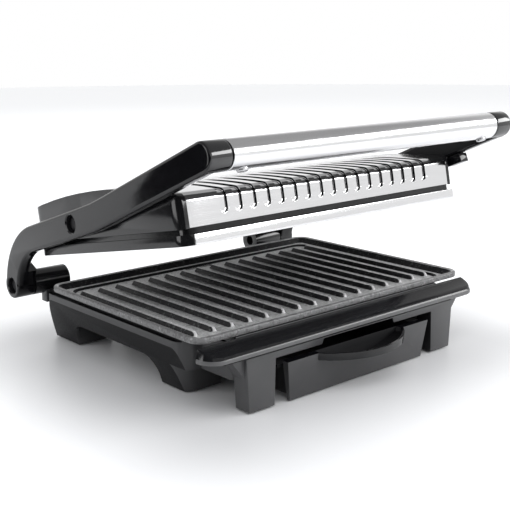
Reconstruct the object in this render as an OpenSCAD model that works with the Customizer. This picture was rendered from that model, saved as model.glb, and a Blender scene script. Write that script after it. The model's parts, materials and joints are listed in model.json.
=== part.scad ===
// Contact grill (panini press): hinged lid with a floating upper plate,
// a fixed ridged lower plate and a drip tray that slides out at the front.
// Millimetres. X runs across, Y from front to back, Z up from the worktop.
// The working frame starts at the lower plate's front edge; the finished part
// is moved so that its origin is the centre of its footprint on the worktop.

/* [Lower plate] */
// Width of the lower cooking plate
plate_w = 250; // [220:5:290]
// Depth of the lower cooking plate
plate_d = 172; // [150:2:190]
// Corner radius of the plate in plan
plate_corner = 10; // [6:1:16]
// Height of the plate's rim above the worktop
rim_z = 50.5; // [46:0.5:60]
// Height of the rim's outer face
rim_h = 4; // [3:0.5:6]
// Flat width of the rim's top
rim_w = 3; // [2:0.5:5]
// Width of the sloping wall inside the rim
well_slope = 6; // [4:1:9]
// Depth of the cooking surface below the rim
well_depth = 5.5; // [4.5:0.5:7]
// Thickness of the plate's floor
plate_floor = 3; // [2.5:0.5:5]
// Spacing of the ridges
ridge_pitch = 14.65; // [12:0.05:18]
// Width of a ridge at its foot
ridge_w = 6.4; // [4:0.2:8]
// Height of a ridge
ridge_h = 2.8; // [2:0.1:3]
// Distance from the plate's front and rear edges to the ridges' ends
ridge_border = 20; // [16:1:24]
// Least distance from the plate's sides to a ridge
ridge_side = 11.5; // [10:0.5:16]
// Length of the fat drain slot in the rear gutter
drain_len = 26; // [14:1:40]
// Width of the fat drain slot
drain_w = 4; // [3:0.5:5]

/* [Base] */
// Inset of the base's side walls under the plate's edge
base_inset = 12; // [10:1:16]
// Further inset of the side walls at the feet
wall_taper = 10; // [4:1:14]
// Inset of the narrow neck that carries the plate
neck_in = 3; // [1:0.5:4]
// Setback of the base's front corners behind the plate's front edge
corner_back = 31; // [20:1:34]
// Radius of the base's upright corners
base_corner = 12; // [8:1:14]
// Drop of the rear deck below the plate's rim
deck_drop = 10; // [9:0.5:12]
// Wall thickness of the moulded shells
wall = 2.5; // [2:0.1:3.5]
// Depth of the base behind the plate
rear_deck = 31; // [26:1:40]
// Height of the base's belly above the worktop
belly_z = 22.5; // [19:0.5:25]
// How far the tub's lower edge reaches below the bottom cover
cover_lip = 1; // [0.5:0.5:3]
// Length of the front feet
front_foot_len = 27; // [18:1:34]
// Setback of the front feet behind the plate's front edge
front_foot_y = 40; // [36:1:50]
// Length of the rear feet
rear_foot_len = 32; // [20:1:40]
// Clearance of the moulded feet above the worktop
foot_gap = 1; // [0.5:0.5:2]
// Radius of a rubber foot
rubber_r = 6; // [4:0.5:8]

/* [Front] */
// How far the front apron stands out before the plate
apron_out = 14; // [10:1:20]
// Drop of the apron's sloping top over its depth
apron_drop = 5.3; // [3:0.1:7]
// Distance from the plate's rim down to the apron's underside
apron_h = 14.5; // [13:0.1:15.5]
// Overhang of the apron at each end past the plate
apron_over = 1.5; // [0:0.5:4]
// Clear width of the tray opening between the front posts
opening_w = 149; // [130:1:160]
// Height of the bar over the tray opening
bar_h = 4.8; // [4:0.1:5.5]
// Width of each front post at its top
post_w = 24; // [16:1:26]
// Depth of the front posts
post_depth = 13; // [10:1:14]

/* [Drip tray] */
// Gap between the tray's front and the posts, at its top
tray_side_gap = 7.2; // [3:0.2:10]
// How far each end of the tray's front leans in towards the bottom
tray_lean = 3.8; // [0:0.2:8]
// Gap between the tray's front and the bar over it
tray_top_gap = 3.7; // [2:0.1:6]
// Gap behind the tray in its slot
tray_back_gap = 3; // [1:0.5:10]
// Distance from the posts to the sides of the tray's pan
pan_side_gap = 12.5; // [11:0.5:20]
// Height of the pan's underside above the worktop
pan_low = 4; // [2:0.5:8]
// Wall thickness of the tray
tray_wall = 2; // [1.5:0.1:3]
// Width of the scoop-shaped finger pull
pull_w = 82; // [60:1:96]
// How far the pull stands out
pull_out = 19.5; // [12:0.5:22]
// Height of the pull's upright rim
pull_band = 4.6; // [3:0.2:7]
// Height of the pull's foot above the worktop
pull_low = 15; // [13:0.5:16]
// Wall thickness of the pull
pull_wall = 1.8; // [1.4:0.1:2.5]
// Width of the flanges that slide on the rails
runner_w = 8; // [5:0.5:9]

/* [Hinge and arms] */
// Distance from the plate's rear edge to the hinge axis
hinge_back = 32.5; // [29:0.5:36]
// Drop of the hinge axis below the plate's rim
hinge_drop = 5; // [3:0.5:8]
// Radius of the hinge barrels
barrel_r = 9.3; // [8.5:0.1:10.5]
// Length of each barrel on the base
barrel_len = 28; // [20:1:34]
// Gap between the lid's sides and the arms
lid_play = 2.5; // [1.5:0.1:5]
// Thickness of an arm beside the lid
arm_t = 8.5; // [7:0.5:9]
// Thickness of an arm at its foot
arm_foot_t = 15; // [12:0.5:15]
// Height of an arm's section
arm_h = 18.4; // [16:0.2:21]
// Mean radius of the bend behind the hinge
bend_r = 46; // [42:1:50]
// Direction from the bend's centre to the hinge axis, in degrees
bend_angle = 24; // [20:1:28]
// Distance from the plate's front edge to the arm's kink
kink_y = 75; // [55:1:90]
// Height of the arm's middle above the plate's rim at the kink, lid closed
kink_h = 20.5; // [19:0.5:23]
// How far the handle's axis lies in front of the plate, lid closed
handle_out = 45.8; // [36:0.2:56]
// Height of the handle's axis above the plate's rim, lid closed
handle_h = 29; // [25:0.5:33]
// Radius of the handle tube
handle_r = 9; // [8:0.5:11]
// Length of the arms' end caps on the handle
cap_len = 17; // [14:1:30]
// Wall thickness of the handle tube
tube_wall = 1.2; // [0.8:0.1:2]
// Radius of the pins at the hinge and at the lid's pivot
pin_r = 4; // [3:0.25:4.5]
// Radius of the pins' heads
pin_head_r = 5.2; // [4.8:0.1:5.6]
// Radius of the recesses over the pins' heads
recess_r = 5.8; // [5.7:0.1:6.4]
// Depth of the recesses over the pins' heads
recess_depth = 5; // [3:0.5:5.5]
// Running clearance of the pins in their bores
pin_gap = 0.05; // [0.02:0.01:0.09]
// Opening angle of the arms at rest
arm_open = 19.3; // [12:0.1:30]
// Angle by which the lid hangs back from the arms at rest
lid_lag = 7.8; // [4:0.1:10]

/* [Lid] */
// Overhang of the lid past the lower plate at each side
lid_side = 1; // [0:0.5:4]
// Overhang of the closed lid behind the lower plate
lid_rear = 1; // [-4:0.5:4]
// Overhang of the closed lid in front of the lower plate
lid_over = 7; // [4:0.5:10]
// Gap between the closed lid and the lower plate's rim
lid_gap = 0.8; // [0.6:0.1:3]
// Corner radius of the lid in plan
lid_corner = 12; // [8:1:16]
// Height of the lid's lower frame
frame_h = 6.5; // [5.5:0.5:7.5]
// Height of the shadow band above the frame
band_h = 3.5; // [2:0.5:5]
// Depth of the shadow band
band_depth = 3; // [2:0.5:4]
// Setback of the lid's front panel behind the frame
panel_back = 3.8; // [3:0.2:6]
// Height of the front panel's top bend above the lid's underside
panel_top = 25.5; // [22:0.5:27]
// Height of the lid's crown above its underside
crown_h = 40; // [38:0.5:42]
// Distance from the lid's rear to its crown
crown_back = 80; // [70:1:90]
// Distance from the hinge axis forward to the lid's pivot, lid closed
pivot_reach = 101.9; // [90:0.1:110]
// Height of the pivot above the lid's underside
pivot_h = 20.7; // [18:0.1:23]
// Thickness of the steel cover
cover_t = 1.6; // [1:0.1:2]
// Distance from the lid's sides to the steel cover and the front trim
cover_side = 6; // [4:0.5:16]
// Distance from the lid's rear to the cover's rear edge
cover_rear = 16; // [12:1:40]
// Radius of the bend over the cover's front
bend_front = 6; // [4:0.5:8]
// Spacing of the flutes
flute_pitch = 11.6; // [9:0.1:15]
// Width of a flute
flute_w = 6.6; // [3:0.1:8]
// Depth of a flute
flute_depth = 1.2; // [0.5:0.1:1.2]
// Height of the flutes' lower ends above the lid's underside
flute_low = 15.9; // [13:0.1:20]
// Length of the flutes along the lid's top
flute_top_len = 58; // [30:1:90]
// Number of flutes
flute_n = 17; // [9:2:19]

/* [Inside] */
// Thickness of the heating rods
heater_t = 6.5; // [5:0.5:6.5]
// Distance from the plates' sides to the heating rods
heater_side = 50; // [40:1:80]
// Distance from the plates' front and rear edges to the heating rods
heater_end = 40; // [36:1:50]
// Thickness of the heat shields
shield_t = 0.6; // [0.4:0.1:1]
// Distance from the heating rods to the heat shields' sides
shield_side = 15; // [6:0.5:20]
// Radius of the thermostats
thermostat_r = 8; // [5:0.5:10]
// Height of the thermostats
thermostat_h = 5; // [3:0.5:6]
// Width of the terminal block
terminal_w = 18; // [12:1:24]
// Length of the terminal block
terminal_len = 36; // [24:1:44]
// Height of the terminal block
terminal_h = 11; // [8:0.5:12]
// Bore radius of the cord gland
cord_r = 3.6; // [2.5:0.1:4.5]
// Flange radius of the cord gland
gland_r = 8; // [7:0.5:10]
// Distance of the cord gland from the press's middle
gland_x = 62; // [40:1:70]
// Height of the cord gland above the worktop
gland_z = 30; // [29:0.5:33]
// Radius of the pilot lights
lamp_r = 3; // [2:0.5:4]
// Distance between the pilot lights
lamp_gap = 14; // [10:1:30]

/* [Screws] */
// Radius of the screws in the bottom cover
base_screw_r = 1.55; // [1.2:0.05:2]
// Radius of the screws in the handle
handle_screw_r = 1.95; // [1.5:0.05:2.2]
// Radius of the screws in the steel cover
cover_screw_r = 1.4; // [1:0.1:1.6]
// Radius of the screws in the lid's frame
lid_screw_r = 1.25; // [1:0.05:1.5]
// Play of a screw in its hole
screw_gap = 0.05; // [0.03:0.01:0.2]
// Width of a screw head's slot
screw_slot = 0.8; // [0.6:0.1:1]

/* [Lock slider] */
// Length of the slider
slider_len = 15.5; // [10:0.5:20]
// Height of the slider's grip below the arm
slider_h = 6.5; // [4:0.5:8]
// Travel of the slider
slider_travel = 12; // [6:1:18]
// Distance from the handle's axis to the slider
slider_back = 36; // [30:1:44]

/* [Hidden] */
$fn = 64;

// --- derived values ---
seat = 0.3;
plate_lip = rim_h;
tub_w = plate_w - 2 * base_inset;
pan_z = rim_z - well_depth - plate_floor;
deck_z = rim_z - deck_drop;
pan_edge = base_inset + 2;
deck_y = plate_d - pan_edge + 2;
base_back = plate_d + rear_deck;
apron_under_z = rim_z - apron_h;
neck_z = apron_under_z + 1.5;
taper_z = neck_z - 4.5;
opening_z = apron_under_z - bar_h;
arch_z = belly_z - wall - cover_lip;
bore_r = pin_r + pin_gap;
hinge_y = plate_d + hinge_back;
hinge_z = rim_z - hinge_drop;
lid_w = plate_w + 2 * lid_side;
lid_d = lid_over + plate_d + lid_rear;
arm_in = lid_w / 2 + lid_play;
arm_out = arm_in + arm_t;
arms_w = 2 * arm_out;
handle_len = arms_w - 2 * cap_len;
foot_in = arm_out - arm_foot_t;
barrel_out = foot_in - 0.4;
barrel_in = barrel_out - barrel_len;
head_x = arm_out - recess_depth;
head_t = 2.2;
post_x = opening_w / 2 + post_w;
tray_front_w = opening_w - 2 * tray_side_gap;
tray_pan_w = opening_w - 2 * pan_side_gap;
tray_y0 = -apron_out + 3;
tray_face_t = 2.5;
tray_front_z = opening_z - tray_top_gap;
pull_y0 = tray_y0 - 2 * tray_face_t - pull_out;

// arm's middle line with the lid closed: handle, kink, bend and hinge
handle_z = rim_z + handle_h;
kink_z = rim_z + kink_h;
bend_y = hinge_y - bend_r * cos(bend_angle);
bend_z = hinge_z - bend_r * sin(bend_angle);
arm_slope = atan2(handle_z - kink_z, kink_y + handle_out);

// lid in its own frame: Y from its front edge, Z from its underside
pivot_y = hinge_y - pivot_reach;
pivot_back = pivot_y + lid_over;
pivot_z = rim_z + lid_gap + pivot_h;
crown_y = lid_d - crown_back;
cover_w = lid_w - 2 * cover_side;
cover_len = lid_d - cover_rear;
dome_a = crown_y - panel_back - bend_front;
dome_b = crown_h - panel_top;
dome_r = (dome_a * dome_a + dome_b * dome_b - bend_front * bend_front) / (2 * (dome_b - bend_front));
dome_front = acos(dome_a / (dome_r - bend_front));
panel_z0 = frame_h + band_h;
frame_wall = 4;
plate2_gap = 0.4;
plate2_w = lid_w - 2 * (frame_wall + plate2_gap);
plate2_d = lid_d - 2 * (frame_wall + plate2_gap);
plate2_z = 0.6;
pan2_z = plate2_z + well_depth + plate_floor;

// footprint centre, from the handle's or the tray's front to the rearmost hinge barrel
rest_handle_y = hinge_y + (-handle_out - hinge_y) * cos(arm_open) + (handle_z - hinge_z) * sin(arm_open);
front_y = min(rest_handle_y - handle_r, pull_y0);
back_y = hinge_y + barrel_r;
mid_y = (front_y + back_y) / 2;

function lerp(a, b, t) = a + (b - a) * t;

// a point on the line through the lid's shell, t inside its outer surface
function bend_point(a, t) = [
    panel_back + bend_front + (bend_front - t) * cos(a),
    panel_top + (bend_front - t) * sin(a)
];
function dome_point(a, t) = [
    crown_y + (dome_r - t) * cos(a),
    crown_h - dome_r + (dome_r - t) * sin(a)
];
dome_left = 180 - dome_front;
function dome_end(t) = acos((lid_d - t - crown_y) / (dome_r - t));
function shell_profile(t, z0) = concat(
    [[panel_back + t, z0]],
    [for (i = [0:4]) bend_point(lerp(180, dome_left, i / 4), t)],
    [for (i = [1:10]) dome_point(lerp(dome_left, dome_end(t), i / 10), t)],
    [[lid_d - t, z0]]
);

module at_centre() {
    translate([0, -mid_y, 0]) children();
}

module arms_open() {
    translate([0, -mid_y, 0])
        translate([0, hinge_y, hinge_z])
            rotate([-arm_open, 0, 0])
                translate([0, -hinge_y, -hinge_z]) children();
}

module lid_open() {
    arms_open()
        translate([0, pivot_y, pivot_z])
            rotate([lid_lag, 0, 0])
                translate([0, -pivot_back, -pivot_h]) children();
}

module block(x0, x1, y0, y1, z0, z1) {
    translate([x0, y0, z0]) cube([x1 - x0, y1 - y0, z1 - z0]);
}

module both_sides() {
    children();
    mirror([1, 0, 0]) children();
}

// slab with rounded corners in plan, centred on X
module slab(w, y0, y1, r, z0, z1) {
    block(-w / 2 + r, w / 2 - r, y0, y1, z0, z1);
    block(-w / 2, w / 2, y0 + r, y1 - r, z0, z1);
    for (x = [-w / 2 + r, w / 2 - r])
        for (y = [y0 + r, y1 - r])
            translate([x, y, z0]) cylinder(r = r, h = z1 - z0);
}

// bar along X with the outline given as points in Y and Z
module bar_x(x0, x1, points) {
    translate([x0, 0, 0])
        rotate([90, 0, 90])
            linear_extrude(x1 - x0) polygon(points);
}

// sheet along Y with the outline given as points in X and Z
module bar_y(y0, y1, points) {
    translate([0, y1, 0])
        rotate([90, 0, 0])
            linear_extrude(y1 - y0) polygon(points);
}

module rod_x(x0, x1, y, z, r) {
    translate([x0, y, z]) rotate([0, 90, 0]) cylinder(r = r, h = x1 - x0);
}

module rod_y(y0, y1, x, z, r) {
    translate([x, y0, z]) rotate([-90, 0, 0]) cylinder(r = r, h = y1 - y0);
}

// dished block with sloping sides: wide at the top, narrow at the bottom
module dish(w, y0, y1, c, r_top, r_low, z0, z1) {
    hull()
        for (x = [-w / 2 + c, w / 2 - c])
            for (y = [y0 + c, y1 - c])
                translate([x, y, z0]) cylinder(r1 = r_low, r2 = r_top, h = z1 - z0, $fn = 32);
}

// ridged plate facing up, its rim's top at z = 0
module grill_plate(w, d, lip) {
    under = well_depth + plate_floor;
    c = pan_edge;
    r_top = max(1.5, plate_corner - rim_w);
    r_low = max(0.5, r_top - well_slope);
    n = floor((w - 2 * ridge_side + ridge_pitch - ridge_w) / ridge_pitch);
    ends = [ridge_border + ridge_w / 2, d - ridge_border - ridge_w / 2];
    difference() {
        union() {
            slab(w, 0, d, plate_corner, -lip, 0);
            dish(w, 0, d, c, c - 4, 2, -under, -lip + 0.001);
        }
        dish(w, 0, d, plate_corner, r_top, r_low, -well_depth, 0.01);
        translate([-drain_len / 2, d - ridge_border + ridge_w / 2 + 1, -under - 1])
            cube([drain_len, drain_w, under + 1]);
    }
    for (i = [0:n - 1])
        translate([(i - (n - 1) / 2) * ridge_pitch, 0, -well_depth - 0.01]) {
            block(-ridge_w / 2, ridge_w / 2, ends[0], ends[1], 0, ridge_h);
            for (y = ends) translate([0, y, 0]) cylinder(r = ridge_w / 2, h = ridge_h, $fn = 32);
        }
}

// closed loop of heating rod lying from z = 0 up, its middle at the origin
module heating_loop(w, d) {
    r = 14;
    difference() {
        slab(w, -d / 2, d / 2, r, 0, heater_t);
        slab(w - 2 * heater_t, -d / 2 + heater_t, d / 2 - heater_t, r - heater_t, -1, heater_t + 1);
    }
}

// shallow sheet pan closed at z = 0 and open upwards, h high
module sheet_pan(w, d, h) {
    difference() {
        translate([-w / 2, -d / 2, 0]) cube([w, d, h]);
        translate([-w / 2 + shield_t, -d / 2 + shield_t, shield_t])
            cube([w - 2 * shield_t, d - 2 * shield_t, h]);
    }
}

// outline of the tub from the front, t inside its outer face
function tub_points(t) = let (x = tub_w / 2 - t) [
    [-x + neck_in, rim_z], [-x + neck_in, neck_z - t], [-x, neck_z - t], [-x, taper_z],
    [-x + wall_taper, 1], [x - wall_taper, 1],
    [x, taper_z], [x, neck_z - t], [x - neck_in, neck_z - t], [x - neck_in, rim_z]
];

// plan of the tub, t inside: full width behind the front corners, narrower between the posts
module tub_plan(t, z0, z1) {
    slab(tub_w - 2 * t, corner_back + t, base_back - t, base_corner - t, z0, z1);
    slab(2 * post_x - 2 * t, t, corner_back + 20, 3 - t / 2, z0, z1);
}

module tub_solid(t, z0, z1) {
    intersection() {
        bar_y(-1, base_back + 1, tub_points(t));
        tub_plan(t, z0, z1);
    }
}

foot_x0 = opening_w / 2 + 0.5;
foot_w = tub_w - 0.8 * wall_taper;
foot_corner = 14;
rear_foot_y1 = base_back - 3;
rear_foot_y0 = rear_foot_y1 - rear_foot_len + 3;

// feet, t inside their outer faces, the front ones with rounded outer corners
module feet(t, z0, z1) {
    both_sides() {
        intersection() {
            block(
                foot_x0 + t, tub_w / 2 + 1,
                front_foot_y + t, front_foot_y + front_foot_len - t, z0, z1
            );
            slab(foot_w - 2 * t, front_foot_y + t, base_back, foot_corner - t, z0, z1);
        }
        block(foot_x0 + t, tub_w / 2 + 1, rear_foot_y0 + t, base_back - t, z0, z1);
    }
}

// rounded corners of the side arches
module arch_corners() {
    arch_r = 14;
    for (q = [[front_foot_y + front_foot_len, arch_r], [rear_foot_y0 - arch_r, 0]])
        both_sides()
            difference() {
                block(
                    foot_x0 + 12, tub_w / 2 + 1, q[0], q[0] + arch_r,
                    arch_z - arch_r + 1, belly_z - wall
                );
                rod_x(0, tub_w, q[0] + q[1], arch_z - arch_r, arch_r);
            }
}

rubber_x = foot_x0 + 14;
rubber_ys = [front_foot_y + front_foot_len / 2, rear_foot_y0 + rear_foot_len / 2];
screw_x = tub_w / 2 - 15;
screw_ys = [front_foot_y + front_foot_len + 23, rear_foot_y0 - 25];
base_head_r = 2 * base_screw_r;
boss_h = 10;

module base_shell() {
    color([0.07, 0.07, 0.075])
    at_centre()
        difference() {
            union() {
                difference() {
                    union() {
                        tub_solid(0, arch_z, deck_z);
                        intersection() {
                            tub_solid(0, arch_z, pan_z);
                            block(-tub_w, tub_w, -1, deck_y, arch_z, pan_z);
                        }
                        intersection() {
                            tub_solid(0, foot_gap, arch_z + 1);
                            union() {
                                feet(0, foot_gap, belly_z - wall);
                                arch_corners();
                            }
                        }
                    }
                    // inside of the tub, of the feet and under the rear deck
                    difference() {
                        tub_solid(wall, foot_gap + wall, deck_z - wall);
                        feet(0, 0, belly_z - wall);
                    }
                    intersection() {
                        tub_solid(wall, foot_gap + wall, belly_z);
                        feet(wall, 0, belly_z);
                    }
                    intersection() {
                        tub_solid(wall, belly_z, pan_z + 1);
                        block(-tub_w, tub_w, -1, deck_y - wall, belly_z, pan_z + 1);
                    }
                }
                // lip under the plate's front edge
                block(-post_x + 3, post_x - 3, 0, wall, pan_z - 1, rim_z - plate_lip - seat);
                // hinge barrels on their brackets
                both_sides() {
                    rod_x(barrel_in, barrel_out, hinge_y, hinge_z, barrel_r);
                    block(
                        barrel_in + 2, tub_w / 2, hinge_y - barrel_r + 2, hinge_y,
                        hinge_z - barrel_r - 6, hinge_z - 2
                    );
                }
                // screw bosses on the side walls
                for (y = screw_ys)
                    both_sides() {
                        translate([screw_x, y, belly_z]) cylinder(r = base_screw_r + 2.4, h = boss_h);
                        block(screw_x + 2, tub_w / 2 - 4.5, y - 1.5, y + 1.5, belly_z, belly_z + boss_h);
                    }
            }
            both_sides() rod_x(barrel_in - 1, barrel_out + 1, hinge_y, hinge_z, bore_r);
            block(-opening_w / 2, opening_w / 2, -1, wall + 1, 0, opening_z);
            for (y = screw_ys)
                both_sides()
                    translate([screw_x, y, belly_z - 1]) cylinder(r = base_screw_r + screw_gap, h = boss_h);
            for (y = rubber_ys)
                both_sides() translate([rubber_x, y, 0]) cylinder(r = 2.1, h = 8);
            rod_y(base_back - wall - 1, base_back + 1, gland_x, gland_z, cord_r + 2);
        }
}

module front_apron() {
    w = plate_w / 2 + apron_over;
    z_top = rim_z - 5;
    color([0.02, 0.02, 0.022])
    at_centre()
        intersection() {
            bar_x(-w, w, [
                [-apron_out, apron_under_z], [-apron_out, z_top - apron_drop], [0, z_top],
                [-0.01, apron_under_z]
            ]);
            slab(2 * w, -apron_out, apron_out + 10, 12, apron_under_z, rim_z);
        }
}

module tray_surround() {
    a = opening_w / 2;
    b = post_x;
    notch = pull_w / 2 - 8;
    notch_z = opening_z + 0.73 * bar_h;
    color([0.08, 0.08, 0.085])
    at_centre() {
        bar_y(-post_depth, 0, [
            [-b, apron_under_z], [-b + 2, foot_gap], [-a - 1, foot_gap], [-a, opening_z],
            [-notch - 1.5, opening_z], [-notch, notch_z], [notch, notch_z], [notch + 1.5, opening_z],
            [a, opening_z], [a + 1, foot_gap], [b - 2, foot_gap], [b, apron_under_z]
        ]);
        both_sides()
            bar_y(-post_depth + 3, 0, [
                [b - 0.5, apron_under_z], [b + 10, apron_under_z], [b - 1.3, apron_under_z - 14]
            ]);
    }
}

module bottom_cover() {
    z0 = belly_z - wall;
    in = wall + seat;
    w = tub_w - 2 * wall_taper * (taper_z - z0) / (taper_z - 1) - 2 * in;
    color([0.09, 0.09, 0.095])
    at_centre()
        difference() {
            union() {
                slab(w, corner_back + in, base_back - in, base_corner - 3, z0, belly_z);
                slab(2 * post_x - 2 * in, in, corner_back + 20, 2, z0, belly_z);
            }
            block(-tray_pan_w / 2 - 1, tray_pan_w / 2 + 1, -1, plate_d, z0 - 1, belly_z + 1);
            for (y = screw_ys)
                both_sides() translate([screw_x, y, z0 - 1]) cylinder(r = base_screw_r + 0.2, h = wall + 2);
        }
}

module lower_grill_plate() {
    color([0.45, 0.45, 0.44])
    at_centre() translate([0, 0, rim_z]) grill_plate(plate_w, plate_d, plate_lip);
}

shield_h = heater_t + 0.4 + shield_t;
shield_w = plate_w - 2 * heater_side + 2 * shield_side;
shield_d = plate_d - 2 * heater_end + 2 * shield_side;

module lower_heating_rod() {
    color([0.35, 0.33, 0.32])
    at_centre()
        translate([0, plate_d / 2, pan_z - heater_t - 0.05])
            heating_loop(plate_w - 2 * heater_side, plate_d - 2 * heater_end);
}

module lower_heat_shield() {
    color([0.7, 0.71, 0.72])
    at_centre()
        translate([0, plate_d / 2, pan_z - shield_h]) sheet_pan(shield_w, shield_d, shield_h - 0.02);
}

module lower_thermostat() {
    color([0.8, 0.78, 0.72])
    at_centre()
        translate([shield_w / 2 - 13, plate_d / 2 + 14, pan_z - shield_h - thermostat_h])
            cylinder(r = thermostat_r, h = thermostat_h);
}

module terminal_block() {
    x1 = tub_w / 2 - 13;
    y0 = corner_back + 5;
    color([0.85, 0.84, 0.8])
    at_centre()
        difference() {
            block(x1 - terminal_w, x1, y0, y0 + terminal_len, belly_z, belly_z + terminal_h);
            for (i = [-1:1])
                translate([x1 - terminal_w / 2, y0 + terminal_len / 2 + i * terminal_len / 3, belly_z + 4])
                    cylinder(r = terminal_w / 8, h = terminal_h);
        }
}

module cord_gland() {
    color([0.03, 0.03, 0.03])
    at_centre()
        difference() {
            union() {
                rod_y(base_back - wall - 6, base_back + 1, gland_x, gland_z, cord_r + 1.95);
                rod_y(base_back, base_back + 3, gland_x, gland_z, gland_r);
                rod_y(base_back - wall - 6, base_back - wall - 3, gland_x, gland_z, gland_r - 1.5);
            }
            rod_y(base_back - wall - 7, base_back + 4, gland_x, gland_z, cord_r);
        }
}

module rubber_feet() {
    color([0.05, 0.05, 0.05])
    at_centre()
        for (y = rubber_ys)
            both_sides() translate([rubber_x, y, 0]) {
                cylinder(r = rubber_r, h = foot_gap);
                cylinder(r = 2, h = foot_gap + wall + 2);
            }
}

module base_screws() {
    head_h = base_head_r / 1.7;
    slot_w = base_head_r * 0.7;
    z = belly_z - wall;
    color([0.6, 0.6, 0.62])
    at_centre()
        for (y = screw_ys)
            both_sides() translate([screw_x, y, 0]) {
                difference() {
                    translate([0, 0, z - head_h]) cylinder(r = base_head_r, h = head_h);
                    block(-slot_w, slot_w, -screw_slot / 2, screw_slot / 2, z - head_h - 1, z - 1);
                }
                translate([0, 0, z - 0.9]) cylinder(r = base_screw_r, h = boss_h - 1);
            }
}

module hinge_pins() {
    color([0.75, 0.76, 0.77])
    at_centre()
        both_sides() {
            rod_x(barrel_in + 2, head_x + 1, hinge_y, hinge_z, pin_r);
            rod_x(head_x + seat, head_x + seat + head_t, hinge_y, hinge_z, pin_head_r);
        }
}

// band of an arm with the lid closed, from the hinge round the bend to the handle
function arm_side(s) = let (h = s * arm_h / 2) concat(
    [for (i = [0:9]) let (a = lerp(bend_angle, 90, i / 9))
        [bend_y + (bend_r + h) * cos(a), bend_z + (bend_r + h) * sin(a)]],
    [[kink_y, kink_z + h]],
    [[-handle_out + h * sin(arm_slope), handle_z + h * cos(arm_slope)]]
);
function arm_outline() = concat(arm_side(1), [for (i = [11:-1:0]) arm_side(-1)[i]]);
function foot_side(s) = let (h = s * arm_h / 2)
    [for (i = [0:4]) let (a = lerp(bend_angle, 44, i / 4))
        [bend_y + (bend_r + h) * cos(a), bend_z + (bend_r + h) * sin(a)]];

handle_head_r = 2 * handle_screw_r;

module arm_right() {
    difference() {
        union() {
            bar_x(arm_in, arm_out, arm_outline());
            bar_x(foot_in, arm_out, concat(foot_side(1), [for (i = [4:-1:0]) foot_side(-1)[i]]));
            rod_x(foot_in, arm_out, hinge_y, hinge_z, barrel_r);
            rod_x(handle_len / 2, arm_out, -handle_out, handle_z, handle_r);
            rod_x(handle_len / 2 - 12, arm_out, -handle_out, handle_z, handle_r - tube_wall - 0.05);
        }
        rod_x(foot_in - 1, arm_out + 1, hinge_y, hinge_z, bore_r);
        rod_x(head_x, arm_out + 1, hinge_y, hinge_z, recess_r);
        rod_x(arm_in - 1, arm_out + 1, pivot_y, pivot_z, bore_r);
        rod_x(head_x, arm_out + 1, pivot_y, pivot_z, recess_r);
        rod_x(handle_len / 2 - 13, arm_out + 1, -handle_out, handle_z, handle_screw_r + screw_gap);
        rod_x(arm_out - head_t, arm_out + 1, -handle_out, handle_z, handle_head_r + 0.2);
    }
}

module left_arm() {
    color([0.02, 0.02, 0.022])
    arms_open() mirror([1, 0, 0]) arm_right();
}

// the slider's frame: X along the arm's middle line from the handle, Z outwards
slider_x = (arm_in + arm_out) / 2;
module at_slider() {
    translate([slider_x, -handle_out, handle_z])
        rotate([-arm_slope, 0, 0])
            translate([0, slider_back, -arm_h / 2]) children();
}

module right_arm() {
    color([0.02, 0.02, 0.022])
    arms_open()
        difference() {
            arm_right();
            at_slider() {
                block(-1.5, 1.5, -0.4, slider_len + slider_travel + 0.4, -1, 5);
                block(-2.8, 2.8, -0.4, slider_len + slider_travel + 0.4, 2, 5);
            }
        }
}

module lock_slider() {
    color([0.03, 0.03, 0.032])
    arms_open() at_slider() {
        block(-arm_t / 2, arm_t / 2, 0, slider_len - slider_h / 2, -slider_h - seat, -seat);
        translate([0, slider_len - slider_h / 2, -slider_h / 2 - seat])
            rotate([0, 90, 0]) cylinder(r = slider_h / 2, h = arm_t, center = true);
        block(-1.2, 1.2, 0, slider_len - 1, -seat - 0.01, 4.7);
        block(-2.5, 2.5, 0, slider_len - 1, 2.4, 4.7);
    }
}

module handle_tube() {
    color([0.78, 0.79, 0.8])
    arms_open()
        difference() {
            rod_x(-handle_len / 2, handle_len / 2, -handle_out, handle_z, handle_r);
            rod_x(-handle_len / 2 - 1, handle_len / 2 + 1, -handle_out, handle_z, handle_r - tube_wall);
        }
}

module handle_screws() {
    slot_w = handle_head_r * 0.7;
    color([0.3, 0.3, 0.31])
    arms_open()
        both_sides()
            difference() {
                union() {
                    rod_x(arm_out - head_t, arm_out - 0.4, -handle_out, handle_z, handle_head_r);
                    rod_x(handle_len / 2 - 10, arm_out - 1, -handle_out, handle_z, handle_screw_r);
                }
                block(
                    arm_out - 1.4, arm_out, -handle_out - slot_w, -handle_out + slot_w,
                    handle_z - screw_slot / 2, handle_z + screw_slot / 2
                );
            }
}

module lid_plan(t, z0, z1) {
    slab(lid_w - 2 * t, t, lid_d - t, max(2, lid_corner - t), z0, z1);
}

lamp_xs = [-lamp_gap / 2, lamp_gap / 2];
lamp_y = cover_len - 14;
lid_screw_x = lid_w / 2 - frame_wall - 1;
lid_screw_ys = [lid_d * 2 / 9, lid_d * 7 / 9];
lid_boss_h = 8;
cover_screw_y = cover_len - 7;
cover_screw_head_r = cover_screw_r * 1.8;
cover_screw_len = 6;
pivot_boss = 12;

// each screw of the steel cover, standing square on the dome
module at_cover_screws() {
    z = crown_h - dome_r + sqrt(dome_r * dome_r - (cover_screw_y - crown_y) * (cover_screw_y - crown_y));
    for (x = [-0.375 * cover_w, 0, 0.375 * cover_w])
        translate([x, cover_screw_y, z])
            rotate([-asin((cover_screw_y - crown_y) / dome_r), 0, 0]) children();
}

module cover_screw_hole() {
    translate([0, 0, -2 * cover_screw_len]) cylinder(r = cover_screw_r + screw_gap, h = 3 * cover_screw_len);
}

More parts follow.
